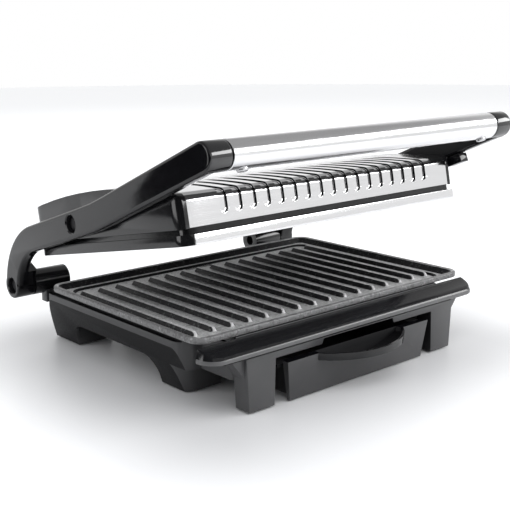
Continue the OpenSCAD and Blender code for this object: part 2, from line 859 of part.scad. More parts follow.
module upper_housing() {
    color([0.03, 0.03, 0.032])
    lid_open()
        difference() {
            union() {
                difference() {
                    intersection() {
                        lid_plan(0, panel_z0, crown_h + 1);
                        bar_x(-lid_w, lid_w, shell_profile(0, panel_z0));
                    }
                    intersection() {
                        lid_plan(wall, panel_z0 - 1, crown_h + 1);
                        bar_x(-lid_w, lid_w, shell_profile(cover_t + wall, panel_z0 - 1));
                    }
                    // seat of the steel cover
                    intersection() {
                        difference() {
                            bar_x(-cover_w / 2, cover_w / 2, shell_profile(-1, panel_z0 - 1));
                            bar_x(-lid_w, lid_w, shell_profile(cover_t, panel_z0 - 2));
                        }
                        block(-lid_w, lid_w, -1, cover_len, panel_z0 - 1, crown_h + 2);
                    }
                }
                both_sides() rod_x(lid_w / 2 - pivot_boss, lid_w / 2 - 1, pivot_back, pivot_h, pin_r + 4.5);
                for (y = lid_screw_ys)
                    both_sides()
                        block(lid_w / 2 - 7.5, lid_w / 2 - 1, y - 3, y + 3, panel_z0, panel_z0 + lid_boss_h);
            }
            both_sides() rod_x(lid_w / 2 - pivot_boss - 1, lid_w / 2 + 1, pivot_back, pivot_h, bore_r);
            for (y = lid_screw_ys)
                both_sides()
                    translate([lid_screw_x, y, panel_z0 - 1])
                        cylinder(r = lid_screw_r + screw_gap, h = lid_boss_h);
            for (x = lamp_xs) translate([x, lamp_y, pan2_z + 8]) cylinder(r = lamp_r + 0.1, h = crown_h);
            at_cover_screws() cover_screw_hole();
        }
}

// groove of one flute: full depth over the bend, fading out along the top
function flute_points() = let (
    n = 8,
    a0 = dome_left,
    a1 = acos((flute_top_len - crown_y) / dome_r)
) concat(
    [[panel_back + flute_depth, flute_low + flute_w / 2]],
    [for (i = [0:4]) bend_point(lerp(180, a0, i / 4), flute_depth)],
    [for (i = [1:n]) dome_point(lerp(a0, a1, i / n), flute_depth * (1 - i / n))],
    [dome_point(a1, -2), [panel_back, crown_h + 3], [panel_back - 2, flute_low + flute_w / 2]]
);

module steel_cover() {
    color([0.8, 0.81, 0.82])
    lid_open()
        difference() {
            intersection() {
                difference() {
                    bar_x(-cover_w / 2, cover_w / 2, shell_profile(0, panel_z0));
                    bar_x(-cover_w, cover_w, shell_profile(cover_t, panel_z0 - 1));
                }
                block(-cover_w, cover_w, -1, cover_len, 0, crown_h + 2);
                lid_plan(0, 0, crown_h + 2);
            }
            for (i = [0:flute_n - 1])
                translate([(i - (flute_n - 1) / 2) * flute_pitch, 0, 0]) {
                    bar_x(-flute_w / 2, flute_w / 2, flute_points());
                    rod_y(0, panel_back + flute_depth, 0, flute_low + flute_w / 2, flute_w / 2);
                }
            for (x = lamp_xs) translate([x, lamp_y, pan2_z + 8]) cylinder(r = lamp_r + 0.1, h = crown_h);
            at_cover_screws() cover_screw_hole();
        }
}

module lid_frame() {
    color([0.04, 0.04, 0.042])
    lid_open()
        difference() {
            union() {
                lid_plan(0, 0, frame_h);
                lid_plan(band_depth, frame_h - 0.01, panel_z0);
            }
            lid_plan(frame_wall, -1, frame_h);
            lid_plan(frame_wall + 3, -1, panel_z0 + 1);
            block(-cover_w / 2, cover_w / 2, -1, 1, -1, frame_h + 1);
            for (y = lid_screw_ys)
                both_sides()
                    translate([lid_screw_x, y, frame_h - 1])
                        cylinder(r = lid_screw_r + screw_gap, h = lid_boss_h + 1);
        }
}

module front_trim() {
    color([0.82, 0.83, 0.84])
    lid_open() block(-cover_w / 2, cover_w / 2, 0, 1, 0, frame_h);
}

module upper_grill_plate() {
    color([0.45, 0.45, 0.44])
    lid_open()
        translate([0, lid_d / 2, plate2_z])
            rotate([0, 180, 0])
                translate([0, -plate2_d / 2, 0]) grill_plate(plate2_w, plate2_d, frame_h - plate2_z);
}

module upper_heating_rod() {
    color([0.35, 0.33, 0.32])
    lid_open()
        translate([0, lid_d / 2, pan2_z + 0.05])
            heating_loop(plate_w - 2 * heater_side, plate_d - 2 * heater_end);
}

module upper_heat_shield() {
    color([0.7, 0.71, 0.72])
    lid_open()
        translate([0, lid_d / 2, pan2_z + shield_h])
            rotate([180, 0, 0]) sheet_pan(shield_w, shield_d, shield_h - 0.02);
}

module upper_thermostat() {
    color([0.8, 0.78, 0.72])
    lid_open()
        translate([shield_w / 2 - 40, lid_d / 2, pan2_z + shield_h])
            cylinder(r = thermostat_r, h = thermostat_h);
}

lamp_top = crown_h - dome_r + sqrt(dome_r * dome_r - (lamp_y - crown_y) * (lamp_y - crown_y));

module pilot_lights() {
    color([0.7, 0.12, 0.08])
    lid_open()
        for (x = lamp_xs)
            translate([x, lamp_y, 0]) {
                translate([0, 0, lamp_top - 8]) cylinder(r = lamp_r, h = 8.6);
                translate([0, 0, lamp_top - 8]) cylinder(r = lamp_r + 1.2, h = 2);
            }
}

module cover_screws() {
    color([0.6, 0.6, 0.62])
    lid_open()
        at_cover_screws() {
            translate([0, 0, 0.1]) cylinder(r = cover_screw_head_r, h = cover_screw_r * 0.7);
            translate([0, 0, -cover_screw_len]) cylinder(r = cover_screw_r, h = cover_screw_len + 0.2);
        }
}

module lid_screws() {
    color([0.6, 0.6, 0.62])
    lid_open()
        both_sides()
            for (y = lid_screw_ys)
                translate([lid_screw_x, y, frame_h + 0.1]) cylinder(r = lid_screw_r, h = lid_boss_h + 1);
}

module pivot_pins() {
    color([0.75, 0.76, 0.77])
    lid_open()
        both_sides() {
            rod_x(lid_w / 2 - 12, head_x + 1, pivot_back, pivot_h, pin_r);
            rod_x(lid_w / 2 + 0.01, arm_in - seat, pivot_back, pivot_h, pin_r + 3);
            rod_x(head_x + seat, head_x + seat + head_t, pivot_back, pivot_h, pin_head_r);
        }
}

// scoop of the finger pull, t inside its outer face: upright rim over a sloping underside
module pull_scoop(t) {
    scoop_r = (pull_w * pull_w / 4 + pull_out * pull_out) / (2 * pull_out);
    band_z = tray_front_z - pull_band;
    foot_r = scoop_r - pull_out - tray_face_t;
    translate([0, pull_y0 + scoop_r, t]) {
        translate([0, 0, pull_low])
            cylinder(r1 = foot_r - t, r2 = scoop_r - t, h = band_z - pull_low, $fn = 128);
        translate([0, 0, band_z - 0.001]) cylinder(r = scoop_r - t, h = pull_band + 0.001, $fn = 128);
    }
}

module drip_tray() {
    a = tray_front_w / 2;
    b = a - tray_lean;
    z0 = foot_gap;
    rail_z = belly_z + seat;
    yf = tray_y0 - tray_face_t;
    rear = plate_d - tray_back_gap;
    scoop_w = pull_w - 2 * pull_wall;
    color([0.09, 0.09, 0.095])
    at_centre() {
        difference() {
            union() {
                // face of the tray, leaning back a little
                intersection() {
                    bar_y(yf - 2 * tray_face_t, tray_y0 + 1, [
                        [-a, tray_front_z], [-b, z0], [b, z0], [a, tray_front_z]
                    ]);
                    bar_x(-a, a, [
                        [yf - tray_face_t, tray_front_z], [yf, z0], [tray_y0, z0], [tray_y0, tray_front_z]
                    ]);
                }
                intersection() {
                    pull_scoop(0);
                    block(-pull_w / 2, pull_w / 2, pull_y0 - 1, tray_y0 - 0.5, pull_low, tray_front_z);
                }
            }
            // hollow of the finger pull, open upwards and through the face
            intersection() {
                pull_scoop(pull_wall);
                block(
                    -scoop_w / 2, scoop_w / 2, pull_y0 - 1, tray_y0 - 0.01,
                    pull_low, tray_front_z + pull_wall
                );
            }
        }
        // pan and its sliding flanges
        difference() {
            union() {
                block(-tray_pan_w / 2, tray_pan_w / 2, tray_y0 - 0.01, rear, pan_low, rail_z + tray_wall);
                block(
                    -tray_pan_w / 2 - runner_w, tray_pan_w / 2 + runner_w,
                    tray_y0 + 2, rear, rail_z, rail_z + tray_wall
                );
            }
            block(
                -tray_pan_w / 2 + tray_wall, tray_pan_w / 2 - tray_wall,
                tray_y0 + tray_wall, rear - tray_wall, pan_low + tray_wall, rail_z + tray_wall + 1
            );
        }
    }
}

base_shell();
front_apron();
tray_surround();
bottom_cover();
lower_grill_plate();
lower_heating_rod();
lower_heat_shield();
lower_thermostat();
terminal_block();
cord_gland();
rubber_feet();
base_screws();
hinge_pins();
left_arm();
right_arm();
handle_tube();
handle_screws();
upper_housing();
steel_cover();
lid_frame();
front_trim();
upper_grill_plate();
upper_heating_rod();
upper_heat_shield();
upper_thermostat();
pilot_lights();
cover_screws();
lid_screws();
pivot_pins();
drip_tray();
lock_slider();
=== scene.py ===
"""Looks of the panini press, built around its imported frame.

Shapes are made in millimetres in the maker's working frame: X across the press, Y from the lower
plate's front edge to the rear hinge, Z up from the worktop. The lid has a frame of its own, Y from
its front edge and Z from its underside. Pose turns both into the frame's metres at rest.
"""
import json
import logging
from dataclasses import dataclass, field, replace
from enum import Enum
from math import acos, atan2, cos, degrees, hypot, pi, radians, sin, sqrt
from typing import Callable, Iterable, Sequence

import bmesh
import bpy
from mathutils import Matrix, Vector


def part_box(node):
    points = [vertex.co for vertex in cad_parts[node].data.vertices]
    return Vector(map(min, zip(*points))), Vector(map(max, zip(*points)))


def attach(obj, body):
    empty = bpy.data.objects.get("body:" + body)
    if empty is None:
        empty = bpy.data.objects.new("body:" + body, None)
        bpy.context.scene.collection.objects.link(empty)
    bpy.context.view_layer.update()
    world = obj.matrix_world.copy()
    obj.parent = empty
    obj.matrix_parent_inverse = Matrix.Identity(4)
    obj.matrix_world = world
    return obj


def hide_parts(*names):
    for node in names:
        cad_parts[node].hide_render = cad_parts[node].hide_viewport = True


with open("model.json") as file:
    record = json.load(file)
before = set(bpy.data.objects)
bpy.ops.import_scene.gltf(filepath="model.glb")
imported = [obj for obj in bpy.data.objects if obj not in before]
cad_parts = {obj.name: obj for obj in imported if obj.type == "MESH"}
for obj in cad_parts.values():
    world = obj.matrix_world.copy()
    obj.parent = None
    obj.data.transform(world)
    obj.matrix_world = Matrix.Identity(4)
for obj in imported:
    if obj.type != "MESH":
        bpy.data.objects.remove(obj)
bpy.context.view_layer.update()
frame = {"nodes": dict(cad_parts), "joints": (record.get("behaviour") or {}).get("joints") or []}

log = logging.getLogger("press")

Object = bpy.types.Object
Material = bpy.types.Material
Socket = bpy.types.NodeSocket
Point2 = tuple[float, float]
Point3 = tuple[float, float, float]
FaceTest = Callable[[Vector, Vector], bool]

MM = 0.001
MERGE_MM = 1e-4  # points of a new mesh this close are one
MERGE_M = 2e-6  # the same for a copied CAD mesh
FLAT = 0.6  # faces of a copied CAD mesh this near to one plane are joined, in degrees
SHARP = 34.0  # edges of a copied CAD mesh past this angle are rounded, in degrees
ROUNDING_STEPS = 3
SOFTENED_CREASE = 28.0  # edges of a rounded copy past this angle stay sharp, in degrees
FASTENER_CREASE = 35.0  # the same for screws, pins and studs
DISC_STEPS = 64
RIM_STEPS = 5
LEAST_ROUGHNESS = 0.02
GRAIN_MIX = 0.6  # how much the finer layers of a finish's grain add
FACING = 0.7  # a face whose normal has this share along an axis is turned that way
MIX_FIRST, MIX_SECOND, MIX_RESULT = 6, 7, 2  # a Mix node's sockets for colours


class Body(Enum):
    """The rigid bodies that a piece can ride on."""

    BASE = "base"
    ARMS = "arms"
    LID = "lid"
    TRAY = "drip_tray"
    SLIDER = "lock_slider"


class Slot(Enum):
    """The record's material slots that the pieces use."""

    GLOSS = "gloss_black"
    SATIN = "satin_black"
    COATING = "plate_coating"
    STEEL = "steel"
    TUBE = "handle_steel"
    PIN = "pin_steel"
    SCREW = "screw_steel"
    RUBBER = "rubber"
    LAMP = "lamp_red"


class Join(Enum):
    """How one solid is combined with another."""

    UNITE = "UNION"
    CUT = "DIFFERENCE"


@dataclass(frozen=True)
class Pose:
    """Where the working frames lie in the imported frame, with the press at rest."""

    arm_open: float = 19.3
    lid_lag: float = 7.8
    lid_over: float = 7.0
    lid_bottom: float = 51.3

    @staticmethod
    def joint(name: str) -> Vector:
        """A hinge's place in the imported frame, in millimetres."""
        found = next(j for j in frame["joints"] if j["name"] == name)
        return Vector(found["pos_m"]) / MM

    @property
    def front(self) -> float:
        """The lower plate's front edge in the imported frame, in millimetres."""
        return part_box("lower_grill_plate")[0][1] / MM

    @property
    def hinge(self) -> Vector:
        """The rear hinge in the working frame."""
        return self.joint("open") - Vector((0, self.front, 0))

    @property
    def pivot(self) -> Vector:
        """The lid's pivot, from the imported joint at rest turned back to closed.

        Returns:
            The pivot in the working frame with the lid closed.
        """
        at_rest = self.joint("lid_float") - Vector((0, self.front, 0))
        turn = Matrix.Rotation(radians(self.arm_open), 3, "X")
        return self.hinge + turn @ (at_rest - self.hinge)

    @property
    def pivot_in_lid(self) -> Vector:
        """The lid's pivot in the lid's own frame."""
        return self.pivot + Vector((0, self.lid_over, -self.lid_bottom))

    def base(self) -> Matrix:
        """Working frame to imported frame, for what stands still."""
        return Matrix.Scale(MM, 4) @ Matrix.Translation((0, self.front, 0))

    def arms(self) -> Matrix:
        """Turns the closed arms to their rest opening.

        Returns:
            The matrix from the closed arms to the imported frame.
        """
        turn = Matrix.Rotation(radians(-self.arm_open), 4, "X")
        return (self.base() @ Matrix.Translation(self.hinge) @ turn
                @ Matrix.Translation(-self.hinge))

    def lid(self) -> Matrix:
        """Hangs the lid on the arms, tilted as at rest.

        Returns:
            The matrix from the lid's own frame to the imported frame.
        """
        turn = Matrix.Rotation(radians(self.lid_lag), 4, "X")
        return (self.arms() @ Matrix.Translation(self.pivot) @ turn
                @ Matrix.Translation(-self.pivot_in_lid))


POSE = Pose()


# ---------------------------------------------------------------- mesh tools


def new_object(name: str, verts: Iterable[Sequence[float]],
               faces: Iterable[Sequence[int]] = ()) -> Object:
    """Makes and links a mesh object.

    Args:
        name: the piece's name.
        verts: its points.
        faces: its faces, as point numbers.

    Returns:
        The linked object.
    """
    mesh = bpy.data.meshes.new(name)
    mesh.from_pydata([tuple(v) for v in verts], [], [tuple(f) for f in faces])
    mesh.update()
    return linked(name, mesh)


def linked(name: str, data: bpy.types.ID) -> Object:
    """An object in the scene for a mesh, a lamp or a camera.

    Args:
        name: the object's name.
        data: what it holds.

    Returns:
        The linked object.
    """
    obj = bpy.data.objects.new(name, data)
    bpy.context.scene.collection.objects.link(obj)
    return obj


def edit(obj: Object, work: Callable[[bmesh.types.BMesh], None]) -> Object:
    """Runs a job on a piece's mesh as a BMesh and stores the result.

    Args:
        obj: the piece.
        work: the job.

    Returns:
        The piece.
    """
    bm = bmesh.new()
    bm.from_mesh(obj.data)
    work(bm)
    bm.to_mesh(obj.data)
    bm.free()
    obj.data.update()
    return obj


def outwards(obj: Object) -> Object:
    """Merges a piece's doubled points and turns every face outwards.

    Args:
        obj: the piece, in millimetres.

    Returns:
        The piece.
    """

    def work(bm: bmesh.types.BMesh) -> None:
        """Merges, then turns."""
        bmesh.ops.remove_doubles(bm, verts=bm.verts, dist=MERGE_MM)
        bmesh.ops.recalc_face_normals(bm, faces=bm.faces)

    return edit(obj, work)


def shade(obj: Object, angle: float) -> Object:
    """Shades a piece smooth and leaves its sharper edges sharp.

    Args:
        obj: the piece.
        angle: edges past it stay sharp, in degrees.

    Returns:
        The piece.
    """

    def work(bm: bmesh.types.BMesh) -> None:
        """Marks faces and edges.

        Args:
            bm: the piece's mesh.
        """
        for face in bm.faces:
            face.smooth = True
        for edge in bm.edges:
            edge.smooth = edge.calc_face_angle(0.0) < radians(angle)

    return edit(obj, work)


def settle(obj: Object) -> Object:
    """Bakes a piece's modifiers into its mesh.

    Args:
        obj: the piece.

    Returns:
        The piece.
    """
    graph = bpy.context.evaluated_depsgraph_get()
    graph.update()
    mesh = bpy.data.meshes.new_from_object(obj.evaluated_get(graph))
    obj.modifiers.clear()
    obj.data = mesh
    return obj


def place(obj: Object, matrix: Matrix) -> Object:
    """Puts a piece's points where a matrix says, leaving the object at the origin.

    Args:
        obj: the piece.
        matrix: from the piece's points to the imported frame.

    Returns:
        The piece.
    """
    obj.data.transform(matrix)
    obj.data.update()
    return obj


def combine(obj: Object, tool: Object, how: Join) -> Object:
    """Unites a piece with another solid or cuts that from it.

    Args:
        obj: the piece that changes.
        tool: the other solid, which is used up.
        how: whether the two are united or the tool is cut away.

    Returns:
        The changed piece.
    """
    modifier = obj.modifiers.new("cut", "BOOLEAN")
    modifier.object = tool
    modifier.operation = how.value
    modifier.solver = "EXACT"
    settle(obj)
    bpy.data.objects.remove(tool)
    return obj


def joined(name: str, parts: Sequence[Object]) -> Object:
    """Puts the meshes of several objects into one.

    Args:
        name: the new object's name.
        parts: the objects, which are used up.

    Returns:
        The one object.
    """
    bm = bmesh.new()
    for part in parts:
        bm.from_mesh(part.data)
    mesh = bpy.data.meshes.new(name)
    bm.to_mesh(mesh)
    bm.free()
    obj = linked(name, mesh)
    for part in parts:
        bpy.data.objects.remove(part)
    return obj


def mirrored(obj: Object, name: str) -> Object:
    """Copies a piece to the other side of the press.

    Args:
        obj: the piece.
        name: the copy's name.

    Returns:
        The copy.
    """
    copy = linked(name, obj.data.copy())
    copy.data.transform(Matrix.Scale(-1, 4, (1, 0, 0)))
    copy.data.flip_normals()
    return copy


def arc(centre: Point2, radius: float, start: float, end: float, steps: int) -> list[Point2]:
    """Points along an arc.

    Args:
        centre: its centre.
        radius: its radius.
        start: where it starts, in degrees.
        end: where it ends, in degrees.
        steps: how many steps it is divided into.

    Returns:
        One point more than there are steps.
    """
    angles = [radians(start + (end - start) * i / steps) for i in range(steps + 1)]
    return [(centre[0] + radius * cos(a), centre[1] + radius * sin(a)) for a in angles]


def rounded(x0: float, x1: float, y0: float, y1: float, r: float, steps: int) -> list[Point2]:
    """A rectangle's outline with round corners.

    Args:
        x0: its left side.
        x1: its right side.
        y0: its lower side.
        y1: its upper side.
        r: the corners' radius, held to what fits.
        steps: steps round each corner.

    Returns:
        Its points, anticlockwise.
    """
    least, spare = 0.05, 0.01
    r = max(least, min(r, (x1 - x0) / 2 - spare, (y1 - y0) / 2 - spare))
    corners = ((x1 - r, y0 + r), (x1 - r, y1 - r), (x0 + r, y1 - r), (x0 + r, y0 + r))
    points = []
    for corner, start in zip(corners, (-90, 0, 90, 180)):
        points += arc(corner, r, start, start + 90, steps)
    return points


def skin(name: str, rings: Sequence[Sequence[Vector]]) -> Object:
    """Skins a run of closed rings and closes both ends.

    Args:
        name: the piece's name.
        rings: the rings, all with the same number of points.

    Returns:
        The skinned object, its faces outwards.
    """
    n, count = len(rings[0]), len(rings)
    faces = []
    for k in range(count - 1):
        a, b = k * n, (k + 1) * n
        faces += [(a + i, a + (i + 1) % n, b + (i + 1) % n, b + i) for i in range(n)]
    faces.append(tuple(range(n - 1, -1, -1)))
    faces.append(tuple(range((count - 1) * n, count * n)))
    return outwards(new_object(name, [v for ring in rings for v in ring], faces))


def turned(name: str, outline: Sequence[Point2], steps: int) -> Object:
    """A solid turned about the X axis.

    Args:
        name: the piece's name.
        outline: (x, radius) from one end of the axis to the other.
        steps: steps round the axis.

    Returns:
        The solid.
    """
    angles = [2 * pi * i / steps for i in range(steps)]
    return skin(name, [[Vector((x, r * cos(a), r * sin(a))) for a in angles] for x, r in outline])


def disc(name: str, x0: float, x1: float, r: float, edge: float, at: Point2) -> Object:
    """A cylinder along X with rounded rims.

    Args:
        name: the piece's name.
        x0: its left face.
        x1: its right face.
        r: its radius.
        edge: the rims' rounding.
        at: its axis, as (y, z).

    Returns:
        The cylinder.
    """
    low = arc((x0 + edge, r - edge), edge, 180, 90, RIM_STEPS)
    high = arc((x1 - edge, r - edge), edge, 90, 0, RIM_STEPS)
    obj = turned(name, low + high, DISC_STEPS)
    obj.data.transform(Matrix.Translation((0, *at)))
    return obj


def softened(node: str, width: float) -> Object:
    """A copy of a CAD node with its sharp edges rounded.

    Args:
        node: the CAD node's name.
        width: the rounding, in metres.

    Returns:
        The copy, already in place.
    """
    obj = linked(node + "_piece", frame["nodes"][node].data.copy())
    obj.data.materials.clear()

    def work(bm: bmesh.types.BMesh) -> None:
        """Merges, flattens and bevels.

        Args:
            bm: the copy's mesh.
        """
        bmesh.ops.remove_doubles(bm, verts=bm.verts, dist=MERGE_M)
        bmesh.ops.dissolve_limit(bm, angle_limit=radians(FLAT), verts=bm.verts, edges=bm.edges)
        edges = [e for e in bm.edges
                 if len(e.link_faces) == 2 and e.calc_face_angle(0.0) > radians(SHARP)]
        bmesh.ops.bevel(bm, geom=edges, offset=width, offset_type="OFFSET",
                        segments=ROUNDING_STEPS, profile=0.5, affect="EDGES",
                        clamp_overlap=True, harden_normals=False)

    return shade(edit(obj, work), SOFTENED_CREASE)


# ---------------------------------------------------------------- node trees


class Graph:
    """Adds and links the nodes of a shader or geometry tree."""

    def __init__(self, tree: bpy.types.NodeTree) -> None:
        """Keeps the tree that the nodes go into."""
        self.tree = tree

    def add(self, kind: str, inputs: dict | None = None, **settings: object) -> bpy.types.Node:
        """Adds a node.

        Args:
            kind: the node's type name.
            inputs: socket name or number to a value, or to another node's output socket.
            settings: the node's own properties.

        Returns:
            The node.
        """
        node = self.tree.nodes.new(kind)
        for key, value in settings.items():
            setattr(node, key, value)
        for key, value in (inputs or {}).items():
            socket = node.inputs[key]
            if isinstance(value, Socket):
                self.tree.links.new(value, socket)
            else:
                socket.default_value = value
        return node

    def out(self, kind: str, inputs: dict | None = None, **settings: object) -> Socket:
        """Adds a node and gives its first output socket."""
        return self.add(kind, inputs, **settings).outputs[0]

    def math(self, operation: str, a: object, b: object = 0.0) -> Socket:
        """The result of a Math node on two numbers or sockets."""
        return self.out("ShaderNodeMath", {0: a, 1: b}, operation=operation)

    def mapped(self, value: object, low: object, high: object, to_low: float, to_high: float,
               smooth: bool = False) -> Socket:
        """A value mapped from one range to another, held at both ends.

        Args:
            value: the value.
            low: the lower end of its range.
            high: the upper end of its range.
            to_low: what the lower end becomes.
            to_high: what the upper end becomes.
            smooth: whether the change eases in and out.

        Returns:
            The mapped value's socket.
        """
        ends = {"From Min": low, "From Max": high, "To Min": to_low, "To Max": to_high}
        return self.out("ShaderNodeMapRange", {"Value": value, **ends}, clamp=True,
                        interpolation_type="SMOOTHSTEP" if smooth else "LINEAR")


@dataclass(frozen=True)
class Finish:
    """A surface finish made from nodes. Lengths are in metres and patterns lie in Object space."""

    name: str
    color: Point3 = (0.5, 0.5, 0.5)
    roughness: float = 0.4
    metallic: float = 0.0
    grain: float = 900.0
    stretch: Point3 = (1.0, 1.0, 1.0)
    color_change: float = 0.1
    rough_change: float = 0.08
    bump: float = 0.02
    relief: float = 0.0004
    coat: float = 0.0
    coat_roughness: float = 0.06
    specular: float = 0.5
    tilt: float = 0.0
    blotch: float = 22.0
    grain_share: float = 0.4
    middle: Point2 = (0.3, 0.7)

    def coordinates(self, graph: Graph) -> Socket:
        """Object coordinates, turned to the piece's tilt and stretched along the grain.

        Args:
            graph: the material's tree.

        Returns:
            The coordinates' socket.
        """
        where = graph.add("ShaderNodeTexCoord").outputs["Object"]
        tilt = (radians(self.tilt), 0, 0)
        turned_to = graph.out("ShaderNodeMapping", {"Vector": where, "Rotation": tilt})
        return graph.out("ShaderNodeMapping", {"Vector": turned_to, "Scale": self.stretch})

    def tint(self, graph: Graph, where: Socket, grain: Socket) -> Socket:
        """The surface colour, a little uneven.

        Args:
            graph: the material's tree.
            where: the coordinates.
            grain: the fine grain, from 0 to 1.

        Returns:
            The colour's socket.
        """
        blotches = graph.out("ShaderNodeTexNoise", {
            "Vector": where, "Scale": self.grain / self.blotch, "Detail": 2.0})
        mixed = graph.math("ADD", graph.math("MULTIPLY", blotches, 1 - self.grain_share),
                           graph.math("MULTIPLY", grain, self.grain_share))
        ramp = graph.add("ShaderNodeValToRGB", {"Fac": mixed})
        for stop, change in enumerate((-self.color_change, self.color_change)):
            shade_of = [min(1.0, c * (1 + change)) for c in self.color]
            ramp.color_ramp.elements[stop].position = self.middle[stop]
            ramp.color_ramp.elements[stop].color = (*shade_of, 1)
        return ramp.outputs[0]

    def make(self) -> Material:
        """Builds the material.

        Returns:
            A material with its own colour, roughness and relief.
        """
        material, graph = blank_material(self.name)
        where = self.coordinates(graph)
        grain = graph.out("ShaderNodeTexNoise", {
            "Vector": where, "Scale": self.grain, "Detail": 3.0, "Roughness": GRAIN_MIX})
        low = max(LEAST_ROUGHNESS, self.roughness - self.rough_change)
        high = min(1.0, self.roughness + self.rough_change)
        shader = graph.out("ShaderNodeBsdfPrincipled", {
            "Base Color": self.tint(graph, where, grain),
            "Roughness": graph.mapped(grain, *self.middle, low, high),
            "Metallic": self.metallic,
            "Specular IOR Level": self.specular,
            "Coat Weight": self.coat,
            "Coat Roughness": self.coat_roughness,
            "Normal": graph.out("ShaderNodeBump", {
                "Strength": self.bump, "Distance": self.relief, "Height": grain}),
        })
        graph.add("ShaderNodeOutputMaterial", {"Surface": shader})
        return material


def blank_material(name: str) -> tuple[Material, Graph]:
    """An empty material.

    Args:
        name: its name.

    Returns:
        The material and the graph of its tree.
    """
    material = bpy.data.materials.new(name)
    material.use_nodes = True
    material.node_tree.nodes.clear()
    return material, Graph(material.node_tree)


@dataclass(frozen=True)
class FlutedSteel(Finish):
    """Brushed steel with painted shade on the steep walls of its pressed flutes."""

    flute_shade_color: Point3 = (0.012, 0.012, 0.013)
    flute_shade_edge: Point2 = (0.05, 0.5)

    def tint(self, graph: Graph, where: Socket, grain: Socket) -> Socket:
        """The steel's colour, with painted shade on the flutes' walls.

        Args:
            graph: the material's tree.
            where: the coordinates.
            grain: the fine grain, from 0 to 1.

        Returns:
            The colour's socket.
        """
        # the "wall" attribute says where the flutes' walls get painted shade
        wall = graph.add("ShaderNodeAttribute", attribute_name="wall").outputs["Fac"]
        dark = graph.mapped(wall, *self.flute_shade_edge, 0.0, 1.0, True)
        plain = super().tint(graph, where, grain)
        mix = graph.add("ShaderNodeMix", {
            0: dark, MIX_FIRST: plain, MIX_SECOND: (*self.flute_shade_color, 1)}, data_type="RGBA")
        return mix.outputs[MIX_RESULT]


@dataclass(frozen=True)
class StoneCoating(Finish):
    """A non-stick coating flecked with pale and dark grains of two sizes."""

    fleck: float = 420.0
    fine_fleck: float = 798.0
    dark: Point3 = (0.33, 0.33, 0.332)
    pale: Point3 = (0.68, 0.68, 0.68)
    plain_from: float = 0.26
    plain_to: float = 0.88
    dark_to: float = 0.1
    spots: Point2 = (0.9, 0.93)

    def tint(self, graph: Graph, where: Socket, grain: Socket) -> Socket:
        """The plain colour with small flecks and a few larger dark spots.

        Args:
            graph: the material's tree.
            where: the coordinates.
            grain: the fine grain, which the flecks don't use.

        Returns:
            The colour's socket.
        """
        small, large = [
            graph.add("ShaderNodeTexVoronoi", {"Vector": where, "Scale": scale}).outputs["Color"]
            for scale in (self.fine_fleck, self.fleck)
        ]
        tone = graph.out("ShaderNodeSeparateColor", {0: small})
        spot = graph.add("ShaderNodeSeparateColor", {0: large}).outputs[1]
        ramp = graph.add("ShaderNodeValToRGB", {"Fac": tone})
        first, last = ramp.color_ramp.elements
        first.position, first.color = 0.0, (*self.dark, 1)
        last.position, last.color = 1.0, (*self.pale, 1)
        for at, stop_color in ((self.dark_to, self.dark), (self.plain_from, self.color),
                               (self.plain_to, self.color)):
            ramp.color_ramp.elements.new(at).color = (*stop_color, 1)
        share = graph.mapped(spot, *self.spots, 0.0, 1.0)
        mix = graph.add("ShaderNodeMix", {
            0: share, MIX_FIRST: ramp.outputs[0], MIX_SECOND: (*self.dark, 1)}, data_type="RGBA")
        return mix.outputs[MIX_RESULT]


